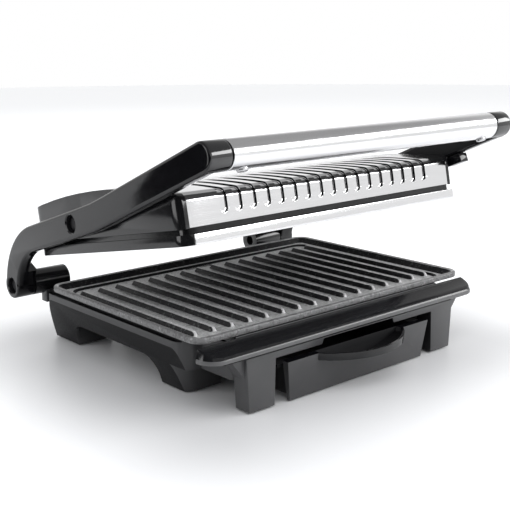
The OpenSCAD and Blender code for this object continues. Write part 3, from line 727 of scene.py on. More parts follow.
class Finishes:
    """Every finish of the press, each made once."""

    def __init__(self) -> None:
        """Builds the materials."""
        brush = (0.02, 1.0, 1.0)
        gloss = Finish("gloss_black", (0.004, 0.004, 0.005), 0.075, grain=260, color_change=0.3,
                       rough_change=0.02, bump=0.005, specular=0.4)
        self.gloss = gloss.make()
        self.gloss_cap = replace(gloss, name="gloss_black_cap", roughness=0.09,
                                 specular=0.9).make()
        self.gloss_lid = Finish("gloss_black_lid", (0.008, 0.008, 0.009), 0.14, grain=300,
                                color_change=0.3, rough_change=0.03, bump=0.006).make()
        self.satin = Finish("satin_black", (0.047, 0.047, 0.049), 0.42, grain=1600,
                            color_change=0.12, rough_change=0.06, bump=0.1).make()
        self.satin_tray = Finish("satin_tray", (0.044, 0.044, 0.046), 0.36, grain=1900,
                                 color_change=0.12, rough_change=0.05, bump=0.07).make()
        # painted sheen: a paler satin black for the apron's upright front; the surround takes a
        # darker copy of it
        front = Finish("satin_front_painted_sheen", (0.1, 0.1, 0.102), 0.36, grain=1600, color_change=0.1,
                       rough_change=0.05, bump=0.08)
        self.satin_painted_sheen = front.make()
        self.satin_mid = replace(front, name="satin_surround", color=(0.054, 0.054, 0.056)).make()
        self.steel = FlutedSteel("brushed_cover", (0.72, 0.72, 0.73), 0.12, 1.0, grain=1500,
                                 stretch=brush, color_change=0.05, rough_change=0.03, bump=0.05,
                                 tilt=11.5).make()
        self.trim = Finish("brushed_trim", (0.74, 0.74, 0.75), 0.14, 1.0, grain=1700,
                           stretch=brush, color_change=0.05, rough_change=0.04, bump=0.05).make()
        self.tube = Finish("brushed_tube", (0.72, 0.72, 0.73), 0.17, 1.0, grain=1900,
                           stretch=brush, color_change=0.07, rough_change=0.05, bump=0.06).make()
        coating = StoneCoating("stone_coating", (0.5, 0.5, 0.503), 0.34, grain=1400,
                               rough_change=0.08, bump=0.16)
        self.stone = coating.make()
        self.rim = replace(coating, name="stone_rim", color=(0.16, 0.16, 0.162), roughness=0.36,
                           bump=0.12, dark=(0.1, 0.1, 0.1), pale=(0.28, 0.28, 0.28)).make()
        # painted shade: a near-black copy of the coating for the ridges' flanks and the pan's
        # inner slopes
        self.painted_flank_shade = replace(coating, name="stone_flank_painted_shade", color=(0.02, 0.02, 0.021),
                             roughness=0.42, specular=0.25, dark=(0.012, 0.012, 0.013),
                             pale=(0.08, 0.08, 0.08)).make()
        # painted shade under the plates' lips and in the gap between the lid's cover and trim
        self.dark = Finish("painted_shade_underside", (0.014, 0.014, 0.015), 0.6, grain=900,
                           color_change=0.2, bump=0.05, specular=0.2).make()
        # the pins' own dark finish, also used as painted shade in the arms' recesses, under the
        # plate, in the arches, in the surround's opening and in the tray's hollows
        self.pin = Finish("dark_pin_and_painted_shade", (0.008, 0.008, 0.009), 0.5, grain=900, color_change=0.2,
                          bump=0.04, specular=0.2).make()
        self.bright = Finish("bright_screw", (0.6, 0.6, 0.61), 0.25, 1.0, grain=1100,
                             bump=0.04).make()
        self.rod = Finish("heated_rod", (0.16, 0.13, 0.12), 0.5, 0.8, grain=500,
                          color_change=0.35, bump=0.1).make()
        self.sheet = Finish("plain_sheet", (0.6, 0.6, 0.61), 0.35, 1.0, grain=700, stretch=brush,
                            bump=0.05).make()
        self.ceramic = Finish("ceramic", (0.66, 0.63, 0.56), 0.6, grain=1500, bump=0.1).make()
        self.rubber = Finish("rubber", (0.02, 0.02, 0.021), 0.7, grain=1300, bump=0.16).make()
        self.lamp = Finish("red_lamp", (0.5, 0.03, 0.02), 0.12, grain=500, color_change=0.15,
                           bump=0.01, coat=0.5).make()


def dress(obj: Object, material: Material, body: Body, slot: Slot, *nodes: str) -> Object:
    """Finishes a piece and hands it to the frame.

    Args:
        obj: the piece, already in place.
        material: its finish.
        body: the body that it rides on.
        slot: the record's material slot, which is not used.
        nodes: the CAD nodes that it stands for.

    Returns:
        The piece.
    """
    obj.data.materials.clear()
    obj.data.materials.append(material)
    for polygon in obj.data.polygons:
        polygon.material_index = 0
    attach(obj, body.value)
    if nodes:
        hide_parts(*nodes)
    log.info("%s: %d faces on %s", obj.name, len(obj.data.polygons), body.value)
    return obj


def partly(obj: Object, material: Material, matrix: Matrix, there: FaceTest) -> None:
    """Gives another finish to the faces of a dressed piece that pass a test.

    Args:
        obj: the dressed piece.
        material: the other finish.
        matrix: the working frame in which the test is put.
        there: the test on a face's middle, in millimetres, and on its normal.
    """
    back = matrix.inverted()
    turn = back.to_3x3().normalized()
    obj.data.materials.append(material)
    for polygon in obj.data.polygons:
        if there(back @ polygon.center, turn @ polygon.normal):
            polygon.material_index = len(obj.data.materials) - 1


def carried(node: str, material: Material) -> None:
    """Gives a carried-over CAD node its finish.

    Args:
        node: the CAD node's name.
        material: its finish.
    """
    mesh = frame["nodes"][node].data
    mesh.materials.clear()
    mesh.materials.append(material)


# ---------------------------------------------------------------- geometry nodes


class NodeMaker(Graph):
    """A geometry node tree with named inputs, run once on an object and then baked."""

    def __init__(self, name: str, sizes: dict[str, float | tuple]) -> None:
        """Builds an empty tree.

        Args:
            name: the tree's name.
            sizes: its named inputs and their values.
        """
        super().__init__(bpy.data.node_groups.new(name, "GeometryNodeTree"))
        face = self.tree.interface
        self.sizes = sizes
        self.sockets = {}
        face.new_socket("Geometry", in_out="INPUT", socket_type="NodeSocketGeometry")
        for key, value in sizes.items():
            kind = {float: "NodeSocketFloat", tuple: "NodeSocketVector"}[type(value)]
            self.sockets[key] = face.new_socket(key, in_out="INPUT", socket_type=kind).identifier
        face.new_socket("Geometry", in_out="OUTPUT", socket_type="NodeSocketGeometry")
        self.given = self.tree.nodes.new("NodeGroupInput")

    def size(self, key: str) -> Socket:
        """The socket that carries one named input."""
        return self.given.outputs[key]

    def xyz(self, x: object = 0.0, y: object = 0.0, z: object = 0.0) -> Socket:
        """A vector of three numbers or sockets."""
        return self.out("ShaderNodeCombineXYZ", {0: x, 1: y, 2: z})

    def curve(self, value: Socket, heights: Sequence[float]) -> Socket:
        """A polyline through evenly spaced heights.

        Args:
            value: where it is read, from 0 to 1.
            heights: its heights.

        Returns:
            The socket with the height there.
        """
        node = self.add("ShaderNodeFloatCurve", {"Value": value})
        line = node.mapping.curves[0]
        while len(line.points) < len(heights):
            line.points.new(0.5, 0.5)
        for i, height in enumerate(heights):
            line.points[i].location = (i / (len(heights) - 1), height)
            line.points[i].handle_type = "VECTOR"
        node.mapping.update()
        return node.outputs[0]

    def turned(self, around: int, profile: Sequence[Point2], radius: object, low: float,
               high: object, stretch: object = 0.0) -> Socket:
        """A closed turned form, pulled out along Y where stretch is not nought.

        Args:
            around: points around it.
            profile: from the lower pole to the upper one, shares of the radius and of the rise.
            radius: the largest radius, or its socket.
            low: the lower pole's height.
            high: the upper pole's height, or its socket.
            stretch: the straight part between the two half-round ends.

        Returns:
            The mesh's socket.
        """
        radii, heights = zip(*profile)
        grid = self.out("GeometryNodeMeshGrid", {
            "Size X": 1.0, "Size Y": 1.0, "Vertices X": around + 1, "Vertices Y": len(profile)})
        at = self.out("GeometryNodeInputPosition")
        where = self.add("ShaderNodeSeparateXYZ", {0: at}).outputs
        half_step = 0.5 / around
        turn = self.math("MULTIPLY", self.math("ADD", where[0], 0.5 + half_step), 2 * pi)
        step = self.math("ADD", where[1], 0.5)
        r = self.math("MULTIPLY", self.curve(step, radii), radius)
        rise = self.math("SUBTRACT", high, low)
        z = self.math("ADD", self.math("MULTIPLY", self.curve(step, heights), rise), low)
        sine = self.math("SINE", turn)
        half = self.math("MULTIPLY", self.math("SIGN", sine), self.math("MULTIPLY", stretch, 0.5))
        x = self.math("MULTIPLY", r, self.math("COSINE", turn))
        y = self.math("ADD", self.math("MULTIPLY", r, sine), half)
        moved = self.out("GeometryNodeSetPosition", {"Geometry": grid,
                                                     "Position": self.xyz(x, y, z)})
        return self.out("GeometryNodeMergeByDistance", {"Geometry": moved, "Distance": MERGE_MM})

    def run(self, name: str, points: Sequence[Sequence[float]], copied: Socket,
            material: Material, **placing: object) -> Object:
        """Ends the tree with one copy on each point, runs it and bakes the mesh.

        Args:
            name: the piece's name.
            points: where the copies go.
            copied: the socket with what is copied.
            material: the finish that the tree sets.
            placing: more inputs of the node that places the copies.

        Returns:
            The piece, its faces outwards.
        """
        rows = self.out("GeometryNodeInstanceOnPoints", {
            "Points": self.given.outputs[0], "Instance": copied, **placing})
        real = self.out("GeometryNodeRealizeInstances", {0: rows})
        finish = self.out("GeometryNodeSetMaterial", {"Geometry": real, "Material": material})
        self.add("NodeGroupOutput", {0: finish})
        obj = new_object(name, points)
        modifier = obj.modifiers.new("make", "NODES")
        modifier.node_group = self.tree
        for key, value in self.sizes.items():
            modifier[self.sockets[key]] = value
        return outwards(settle(obj))


RIDGE_PROFILE = ((0.0, 0.0), (1.0, 0.0), (1.0, 0.05), (0.93, 0.14), (0.78, 0.42), (0.6, 0.72),
                 (0.46, 0.9), (0.38, 0.97), (0.28, 1.0), (0.0, 1.0))
DOME_PROFILE = ((0.0, 0.0), (0.96, 0.0), (1.0, 0.08), (1.0, 0.45), (0.93, 0.7), (0.78, 0.86),
                (0.5, 0.96), (0.25, 0.99), (0.0, 1.0))
SHANK_PROFILE = ((0.0, 0.0), (0.7, 0.0), (1.0, 0.08), (1.0, 1.0), (0.0, 1.0))


@dataclass(frozen=True)
class Ridge:
    """Sizes of a plate's rounded ridge, in millimetres, and how deep its foot sinks in."""

    length: float
    width: float = 6.4
    height: float = 2.8
    sunk: float = 0.2
    around: int = 28
    crease: float = 50.0

    def rows(self, name: str, points: Sequence[Sequence[float]], material: Material) -> Object:
        """Builds ridges along Y.

        Args:
            name: the piece's name.
            points: the middles of their feet.
            material: their finish.

        Returns:
            The ridges as one mesh.
        """
        maker = NodeMaker("ridge_rows", {"Length": self.length, "Width": self.width,
                                         "Height": self.height})
        radius = maker.math("MULTIPLY", maker.size("Width"), 0.5)
        straight = maker.math("SUBTRACT", maker.size("Length"), maker.size("Width"))
        ridge = maker.turned(self.around, RIDGE_PROFILE, radius, -self.sunk,
                             maker.size("Height"), straight)
        return shade(maker.run(name, points, ridge, material), self.crease)


@dataclass(frozen=True)
class Screw:
    """Sizes of a domed screw or pin, in millimetres; without a slot its head is plain."""

    head: float
    height: float
    shank: float
    length: float
    slot: float = 0.0
    cutter: float = 1.4
    around: int = 24
    shank_around: int = 16

    def rows(self, name: str, points: Sequence[Sequence[float]], turn: Point3,
             material: Material) -> Object:
        """Builds screws on given points.

        Args:
            name: the piece's name.
            points: the middles of the heads' undersides.
            turn: how the screws are turned from pointing up, in radians.
            material: their finish.

        Returns:
            The screws as one mesh.
        """
        maker = NodeMaker("fastener_rows", {
            "Head": self.head, "Height": self.height, "Shank": self.shank, "Length": self.length,
            "Slot": self.slot, "Turn": turn})
        high = maker.size("Height")
        dome = maker.turned(self.around, DOME_PROFILE, maker.size("Head"), 0.0, high)
        stem = maker.turned(self.shank_around, SHANK_PROFILE, maker.size("Shank"), 0.0,
                            maker.size("Length"))
        down = maker.xyz(z=maker.math("MULTIPLY", maker.size("Length"), -1.0))
        stem = maker.out("GeometryNodeTransform", {"Geometry": stem, "Translation": down})
        if self.slot:
            wide = maker.math("MULTIPLY", maker.size("Head"), self.cutter)
            bar = maker.xyz(wide, maker.size("Slot"), high)
            bar = maker.out("GeometryNodeMeshCube", {"Size": bar})
            bar = maker.out("GeometryNodeTransform", {"Geometry": bar,
                                                      "Translation": maker.xyz(z=high)})
            dome = maker.out("GeometryNodeMeshBoolean", {0: dome, 1: bar},
                             operation="DIFFERENCE", solver="EXACT")
        whole = maker.add("GeometryNodeJoinGeometry")
        for part in (dome, stem):
            maker.tree.links.new(part, whole.inputs[0])
        made = maker.run(name, points, whole.outputs[0], material, Rotation=maker.size("Turn"))
        return shade(made, FASTENER_CREASE)


# ---------------------------------------------------------------- sub-assemblies


HANDLE_AT = (-45.8, 79.5)  # the handle's axis with the arms closed


@dataclass
class Arms:
    """Both curved side arms with their feet, end caps and the recesses over the pins."""

    inner: float = 128.5
    outer: float = 137.0
    foot_inner: float = 122.0
    cap_inner: float = 120.0
    depth: float = 18.4
    bend_radius: float = 46.0
    bend_start: float = 24.0
    bend_steps: int = 26
    foot_end: float = 44.0
    foot_steps: int = 10
    kink: Point2 = (75.0, 71.0)
    kink_run: float = 16.0
    kink_ease: Point2 = (0.18, 0.9)
    handle: Point2 = HANDLE_AT
    cap_radius: float = 9.0
    cap_edge: float = 2.0
    barrel_radius: float = 9.3
    barrel_edge: float = 1.2
    edge: float = 2.2
    edge_steps: int = 6
    recess_radius: float = 5.8
    recess_depth: float = 5.0
    lip: float = 0.9
    lip_middle: Point2 = (0.5, 0.2)
    bore: float = 4.1
    sunk_reach: Point2 = (0.1, 0.4)
    cap_reach: float = 0.2
    crease: float = 24.0
    guide_run: Point2 = (35.2, 64.6)
    guide_mouth: Point2 = (1.65, -1.0)
    guide_head: Point3 = (2.95, 1.85, 5.1)
    pin_gap: float = 0.4
    hinge_pin: Screw = Screw(5.2, 2.2, 4.0, 34.0)
    pivot_pin: Screw = Screw(5.2, 2.2, 4.0, 15.0)

    @property
    def slope(self) -> float:
        """Fall of the front part of the arm towards the kink, in radians."""
        return atan2(self.handle[1] - self.kink[1], self.kink[0] - self.handle[0])

    def side(self, h: float, whole: bool) -> list[Point2]:
        """One side of the band, from the hinge to the handle or to the foot's end.

        Args:
            h: its distance from the band's middle line.
            whole: whether it goes on to the handle.

        Returns:
            Its points, as (y, z).
        """
        start = radians(self.bend_start)
        hinge = POSE.hinge
        centre = (hinge.y - self.bend_radius * cos(start), hinge.z - self.bend_radius * sin(start))
        radius = self.bend_radius + h
        if not whole:
            return arc(centre, radius, self.bend_start, self.foot_end, self.foot_steps)
        y, z = self.handle
        kink_y, kink_z = self.kink
        return arc(centre, radius, self.bend_start, 90, self.bend_steps) + [
            (kink_y + self.kink_run, kink_z + h + self.kink_ease[0]),
            (kink_y, kink_z + h),
            (kink_y - self.kink_run, kink_z + h + self.kink_ease[1]),
            (y + h * sin(self.slope), z + h * cos(self.slope)),
        ]

    def strip(self, name: str, inner: float, whole: bool) -> Object:
        """A band up to the outer face, its long edges rounded.

        Args:
            name: the piece's name.
            inner: its inner face.
            whole: whether it goes on to the handle.

        Returns:
            The band.
        """
        rings = []
        for k in range(2 * self.edge_steps + 1):
            a = radians(90 * min(k, 2 * self.edge_steps - k) / self.edge_steps)
            run = self.edge * (1 - cos(a))
            x = inner + run if k <= self.edge_steps else self.outer - run
            h = self.depth / 2 - self.edge * (1 - sin(a))
            outline = self.side(h, whole) + self.side(-h, whole)[::-1]
            rings.append([Vector((x, y, z)) for y, z in outline])
        return skin(name, rings)

    def recess(self, at: Vector) -> Object:
        """The tool that cuts one recess and the bore behind it.

        Args:
            at: the recess's axis.

        Returns:
            The tool.
        """
        start, end = self.cap_inner - 1, self.outer + 1
        floor_x, r, mouth = self.outer - self.recess_depth, self.recess_radius, self.lip_middle
        outline = [(start, 0), (start, self.bore), (floor_x, self.bore), (floor_x, r),
                   (self.outer - self.lip, r), (self.outer - mouth[0], r + mouth[1]),
                   (self.outer, r + self.lip), (end, r + self.lip), (end, 0)]
        tool = turned("recess", outline, DISC_STEPS)
        tool.data.transform(Matrix.Translation((0, at.y, at.z)))
        return tool

    def shape(self, name: str) -> Object:
        """The right arm, lid closed.

        Args:
            name: the piece's name.

        Returns:
            The arm with its foot, barrel, cap and recesses.
        """
        hinge, pivot = POSE.hinge, POSE.pivot
        arm = self.strip(name, self.inner, True)
        foot = self.strip("foot", self.foot_inner, False)
        barrel = disc("barrel", self.foot_inner, self.outer, self.barrel_radius, self.barrel_edge,
                      (hinge.y, hinge.z))
        cap = disc("cap", self.cap_inner, self.outer, self.cap_radius, self.cap_edge, self.handle)
        for part in (foot, barrel, cap):
            arm = combine(arm, part, Join.UNITE)
        for at in (hinge, pivot):
            arm = combine(arm, self.recess(at), Join.CUT)
        return arm

    def groove(self, arm: Object) -> Object:
        """Cuts the guide of the lock slider into the underside of the right arm.

        Args:
            arm: the right arm, lid closed.

        Returns:
            The arm.
        """
        middle = (self.inner + self.outer) / 2
        along = Matrix.Translation((middle, *self.handle)) @ Matrix.Rotation(-self.slope, 4, "X")
        (mouth, low), (head, floor, top) = self.guide_mouth, self.guide_head
        side = [(mouth, low), (mouth, floor), (head, floor), (head, top)]
        outline = side + [(-x, z) for x, z in side[::-1]]
        rings = [[along @ Vector((x, y, z - self.depth / 2)) for x, z in outline]
                 for y in self.guide_run]
        return combine(arm, skin("guide", rings), Join.CUT)

    def build(self, finishes: Finishes) -> None:
        """Builds both arms and their pins.

        Args:
            finishes: the press's finishes.
        """
        right = self.shape("arm_right")
        left = mirrored(right, "arm_left")
        right = self.groove(right)
        holes = (POSE.hinge, POSE.pivot)

        def sunk(at: Vector, _: Vector) -> bool:
            """Whether a face is inside a recess, where shade is painted.

            Args:
                at: the face's middle.

            Returns:
                True for a face there.
            """
            wide, deep = self.sunk_reach
            away = min(hypot(at.y - hole.y, at.z - hole.z) for hole in holes)
            return away < self.recess_radius + wide and abs(at.x) < self.outer - deep

        def capped(at: Vector, normal: Vector) -> bool:
            """Whether a face is on the round of an end cap."""
            away = hypot(at.y - self.handle[0], at.z - self.handle[1])
            return away < self.cap_radius + self.cap_reach and abs(normal.x) < 0.5

        matrix = POSE.arms()
        for obj, node in ((left, "left_arm"), (right, "right_arm")):
            shade(obj, self.crease)
            dress(place(obj, matrix), finishes.gloss, Body.ARMS, Slot.GLOSS, node)
            # painted shade inside the recesses over the pins
            partly(obj, finishes.pin, matrix, sunk)
            partly(obj, finishes.gloss_cap, matrix, capped)
        self.pins(finishes, "hinge_pins", POSE.hinge, self.hinge_pin, Body.ARMS)
        self.pins(finishes, "pivot_pins", POSE.pivot, self.pivot_pin, Body.LID)

    def pins(self, finishes: Finishes, node: str, at: Vector, pin: Screw, body: Body) -> None:
        """Builds one pair of pins in the arms' recesses.

        Args:
            finishes: the press's finishes.
            node: the CAD node that the pair stands for, which also names the piece.
            at: the pins' axis.
            pin: their sizes.
            body: the body that they ride on.
        """
        x = self.outer - self.recess_depth + self.pin_gap
        parts = [pin.rows(f"{node}_{side}", [(side * x, at.y, at.z)], (0, side * pi / 2, 0),
                          finishes.pin) for side in (-1, 1)]
        pair = shade(joined(node, parts), FASTENER_CREASE)
        dress(place(pair, POSE.arms()), finishes.pin, body, Slot.PIN, node)


@dataclass
class Handle:
    """The steel tube between the arms, with its studs and the screws in its ends."""

    half: float = 119.9
    radius: float = 9.0
    at: Point2 = HANDLE_AT
    edge: float = 0.6
    edge_steps: int = 6
    steps: int = 96
    crease: float = 40.0
    stud_inset: float = 10.5
    stud_sunk: float = 0.5
    stud: Screw = Screw(3.5, 2.2, 1.4, 1.2)
    screw_x: float = 134.8
    screw: Screw = Screw(3.9, 1.8, 1.95, 26.0, 0.8)

    def build(self, finishes: Finishes) -> None:
        """Builds the tube, its studs and its screws.

        Args:
            finishes: the press's finishes.
        """
        corner = (self.half - self.edge, self.radius - self.edge)
        end = [(self.half, 0.0)] + arc(corner, self.edge, 0, 90, self.edge_steps)
        tube = turned("handle_bar", [(-x, r) for x, r in end] + end[::-1], self.steps)
        tube.data.transform(Matrix.Translation((0, *self.at)))
        matrix = POSE.arms()
        dress(place(shade(tube, self.crease), matrix), finishes.tube, Body.ARMS, Slot.TUBE,
              "handle_tube")
        y, z = self.at
        x, under = self.half - self.stud_inset, z - self.radius + self.stud_sunk
        studs = self.stud.rows("handle_studs", [(-x, y, under), (x, y, under)], (pi, 0, 0),
                               finishes.bright)
        dress(place(studs, matrix), finishes.bright, Body.ARMS, Slot.SCREW)
        screws = [self.screw.rows(f"end_screw_{side}", [(side * self.screw_x, y, z)],
                                  (0, side * pi / 2, 0), finishes.pin) for side in (-1, 1)]
        dress(place(joined("end_screws", screws), matrix), finishes.pin, Body.ARMS, Slot.SCREW,
              "handle_screws")


@dataclass
class SteelCover:
    """The steel front and top of the lid, pressed with a row of flutes."""

    half: float = 120.0
    front: float = 3.8
    low: float = 10.0
    top: float = 25.5
    bend: float = 6.0
    crown: Point2 = (100.0, 40.0)
    rear: float = 164.0
    thickness: float = 2.8
    pitch: float = 11.6
    flute_width: float = 6.2
    flute_depth: float = 1.4
    flute_low: float = 15.9
    flute_end: float = 58.0
    flute_wall: float = 0.16
    fade_gain: float = 1.25
    # how fast the painted shade on the flutes' walls comes in along the top
    flute_shade_gain: float = 1.6
    flutes: int = 17
    edge: float = 0.5
    edge_column: float = 0.15
    front_steps: int = 44
    bend_steps: int = 11
    top_steps: int = 72
    inner_step: int = 6
    crease: float = 35.0
    across_flute: tuple[float, ...] = (-1, -0.96, -0.9, -0.84, -0.7, -0.45, -0.2, 0,
                                       0.2, 0.45, 0.7, 0.84, 0.9, 0.96, 1)

    def path(self) -> list[tuple[Vector, Vector, float]]:
        """The cover's line from its lower edge to its rear edge.

        Returns:
            Points, outward normals and lengths along it.
        """
        a, b = self.crown[0] - self.front - self.bend, self.crown[1] - self.top
        dome = (a * a + b * b - self.bend * self.bend) / (2 * (b - self.bend))
        lean = 180 - degrees(acos(a / (dome - self.bend)))
        last = degrees(acos((self.rear - self.crown[0]) / dome))
        line = []
        for i in range(self.front_steps):
            z = self.low + (self.top - self.low) * i / self.front_steps
            line.append((Vector((self.front, z)), Vector((-1.0, 0.0))))
        bend_at = Vector((self.front + self.bend, self.top))
        dome_at = Vector((self.crown[0], self.crown[1] - dome))
        for centre, radius, start, end, steps, count in (
            (bend_at, self.bend, 180, lean, self.bend_steps, self.bend_steps),
            (dome_at, dome, lean, last, self.top_steps, self.top_steps + 1),
        ):
            for i in range(count):
                angle = radians(start + (end - start) * i / steps)
                normal = Vector((cos(angle), sin(angle)))
                line.append((centre + normal * radius, normal))
        length = 0.0
        rows = []
        for i, (p, n) in enumerate(line):
            length += (p - line[i - 1][0]).length if i else 0.0
            rows.append((p, n, length))
        return rows

    def columns(self) -> list[float]:
        """Where the mesh has columns across the cover: close together over each flute.

        Returns:
            Their X, from the left edge to the right.
        """
        ends = (0.0, self.edge_column, self.edge)
        xs = [-self.half + inset for inset in ends]
        for k in range(self.flutes):
            middle = (k - (self.flutes - 1) / 2) * self.pitch
            xs += [middle + self.flute_width / 2 * share for share in self.across_flute]
            xs.append(middle + self.pitch / 2)
        return xs[:-1] + [self.half - inset for inset in reversed(ends)]

    def fluted(self, x: float) -> bool:
        """Whether a column lies in the row of flutes."""
        return abs(round(x / self.pitch)) <= self.flutes // 2

    def sink(self, x: float, p: Vector, length: float) -> float:
        """How deep a point of the cover is pressed in.

        Args:
            x: its place across the cover.
            p: its place on the cover's line.
            length: its way along that line.

        Returns:
            The depth.
        """
        edge = min(self.half - abs(x), length)
        drop = 0.0
        if edge < self.edge:
            drop = self.edge - sqrt(max(0.0, self.edge ** 2 - (self.edge - edge) ** 2))
        if not self.fluted(x):
            return drop
        return drop + self.flute_depth * self.fade(p) * self.press(x, length)

    def press(self, x: float, length: float) -> float:
        """The share of a flute's depth at a point.

        Args:
            x: its place across the cover.
            length: its way along the cover's line.

        Returns:
            From 0 outside the flute to 1 on its floor.
        """
        half = self.flute_width / 2
        start = self.flute_low - self.low + half
        across = x - round(x / self.pitch) * self.pitch
        away = hypot(across, max(0.0, start - length)) / half
        t = min(1.0, max(0.0, (1.0 - away) / self.flute_wall))
        return t * t * (3 - 2 * t)

    def fade(self, p: Vector) -> float:
        """How the flutes run out along the top, from 1 to 0."""
        run = self.flute_end - self.front - self.bend
        return min(1.0, self.fade_gain * max(0.0, (self.flute_end - p.x) / run))

    def wall(self, x: float, p: Vector, length: float) -> float:
        """How much painted shade a point gets on a flute's steep wall, from 0 to 1."""
        deep = self.press(x, length) if self.fluted(x) else 0.0
        return 4 * deep * (1 - deep) * min(1.0, self.flute_shade_gain * self.fade(p))

    def build(self, finishes: Finishes) -> None:
        """Builds the cover, with its flutes' walls marked for painted shade.

        Args:
            finishes: the press's finishes.
        """
        rows = self.path()
        rings, flute_shade_marks = [], {}
        for x in self.columns():
            outer = []
            for p, n, length in rows:
                q = p - n * self.sink(x, p, length)
                outer.append(Vector((x, q.x, q.y)))
                flute_shade_marks[self.key(outer[-1])] = self.wall(x, p, length)
            inner = [Vector((x, *(p - n * self.thickness))) for p, n, _ in rows[::self.inner_step]]
            rings.append(outer + inner[::-1])
        cover = skin("steel_hood", rings)
        # the painted shade on the flutes' walls, carried as the "wall" attribute
        wall = cover.data.attributes.new("wall", "FLOAT", "POINT")
        for i, vertex in enumerate(cover.data.vertices):
            wall.data[i].value = flute_shade_marks.get(self.key(vertex.co), 0.0)
        shade(cover, self.crease)
        dress(place(cover, POSE.lid()), finishes.steel, Body.LID, Slot.STEEL, "steel_cover")

    @staticmethod
    def key(point: Vector) -> Point3:
        """A point's place to a thousandth, to find it again after doubles are merged."""
        return tuple(round(value, 3) for value in point)


@dataclass
class GrillPlate:
    """A ridged cooking plate facing up, its rim's top at nought."""

    name: str
    width: float = 250.0
    depth: float = 172.0
    ridge_count: int = 16
    lip: float = 4.0
    corner: float = 10.0
    corner_steps: int = 10
    rim: float = 3.0
    slope: float = 6.0
    well: float = 5.5
    floor: float = 3.0
    pitch: float = 14.65
    ridge_width: float = 6.4
    border: float = 20.0
    drain: Point2 = (26.0, 4.0)
    drain_corner: float = 1.9
    drain_steps: int = 6
    drain_gap: float = 1.0
    under_inset: float = 14.0
    crease: float = 40.0
    rim_round: float = 0.4
    slope_lean: Point2 = (0.2, 0.9)
    slope_slack: float = 0.3
    floor_slack: float = 0.1
    lip_slack: float = 0.05

    @property
    def under(self) -> float:
        """The depth of the plate's underside below its rim."""
        return self.well + self.floor

    def ring(self, inset: float, z: float, corner: float) -> list[Vector]:
        """One outline of the pan.

        Args:
            inset: how far it lies inside the pan's edge.
            z: its height.
            corner: its corners' radius.

        Returns:
            Its points.
        """
        x = self.width / 2 - inset
        outline = rounded(-x, x, inset, self.depth - inset, corner, self.corner_steps)
        return [Vector((px, py, z)) for px, py in outline]

    def profile(self) -> list[Point3]:
        """The pan's outlines from its underside, round its lip and rim, down to its floor.

        Returns:
            Inset, height and corner radius of each.
        """
        c, top = self.corner, max(1.5, self.corner - self.rim)
        outside = [
            (self.under_inset + 1, -self.under, 8), (self.under_inset, -self.under + 0.6, 9),
            (self.under_inset - 4, -self.lip, 9), (1.0, -self.lip, c - 1),
            (0.3, -self.lip + 0.3, c - 0.3), (0.0, -self.lip + 1.0, c), (0.0, -0.9, c),
            (0.12, -0.45, c - 0.1), (0.45, -0.12, c - 0.4), (0.9, 0.0, c - 0.9),
        ]
        inside = [
            (self.rim - 0.7, 0.0, top + 0.7), (self.rim - 0.2, -0.12, top + 0.2),
            (self.rim + 0.2, -0.5, top), (self.rim + self.slope * 0.82, -self.well * 0.86, 3.4),
            (self.rim + self.slope * 0.94, -self.well * 0.97, 3.0),
            (self.rim + self.slope + 0.6, -self.well, 2.6),
        ]
        return outside + inside

    def pan(self) -> Object:
        """The pan without its ridges, its drain slot cut.

        Returns:
            The pan.
        """
        pan = skin(self.name + "_pan", [self.ring(*row) for row in self.profile()])
        half = self.drain[0] / 2
        y = self.depth - self.border + self.ridge_width / 2 + self.drain_gap
        outline = rounded(-half, half, y, y + self.drain[1], self.drain_corner,
                          self.drain_steps)
        slot = [[Vector((px, py, z)) for px, py in outline] for z in (-self.under - 1, 1)]
        return combine(pan, skin("drain", slot), Join.CUT)

    def inset(self, at: Vector) -> float:
        """How far a point lies inside the pan's edge."""
        return min(self.width / 2 - abs(at.x), at.y, self.depth - at.y)

    def below(self, at: Vector, _: Vector) -> bool:
        """Whether a face is on the pan's underside or below its lip, where shade is painted.

        Args:
            at: the face's middle.

        Returns:
            True for a face there.
        """
        outside = self.inset(at) < self.rim + self.slope + self.slope_slack
        low = at.z < -self.well - self.floor_slack
        return at.z < -self.lip - self.lip_slack and (low or outside)

    def sloping(self, at: Vector, normal: Vector) -> bool:
        """Whether a face is on the slope from the rim to the floor, where shade is painted."""
        steep = self.slope_lean[0] < normal.z < self.slope_lean[1]
        return steep and self.inset(at) > self.rim and -self.well < at.z < -self.rim_round

    def on_rim(self, at: Vector, _: Vector) -> bool:
        """Whether a face is on the rim."""
        return self.inset(at) < self.rim and at.z > -self.lip - self.lip_slack

    def build(self, finishes: Finishes, matrix: Matrix, body: Body) -> None:
        """Builds the pan and its ridges and places them.

        Args:
            finishes: the press's finishes.
            matrix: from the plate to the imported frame.
            body: the body that they ride on.
        """
        pan = place(shade(self.pan(), self.crease), matrix)
        dress(pan, finishes.stone, body, Slot.COATING, self.name + "_grill_plate")
        # painted shade below the lip and on the inner slopes; the rim takes a darker coating
        for material, there in ((finishes.dark, self.below), (finishes.painted_flank_shade, self.sloping),
                                (finishes.rim, self.on_rim)):
            partly(pan, material, matrix, there)
        columns = [(i - (self.ridge_count - 1) / 2) * self.pitch for i in range(self.ridge_count)]
        ridge = Ridge(self.depth - 2 * self.border, self.ridge_width)
        feet = [(x, self.depth / 2, -self.well) for x in columns]
        ridges = place(ridge.rows(self.name + "_ridges", feet, finishes.stone), matrix)
        dress(ridges, finishes.stone, body, Slot.COATING)
        # painted shade on the ridges' flanks that face sideways
        partly(ridges, finishes.painted_flank_shade, matrix, lambda _, normal: abs(normal.x) > 0.5)


def shells(body: Body, rows: Iterable[tuple[str, Material, Slot, float]]) -> dict[str, Object]:
    """Rounds and dresses copies of CAD nodes.

    Args:
        body: the body that they ride on.
        rows: each node's name, finish, material slot and rounding in metres.

    Returns:
        The pieces, by their nodes' names.
    """
    return {node: dress(softened(node, width), material, body, slot, node)
            for node, material, slot, width in rows}


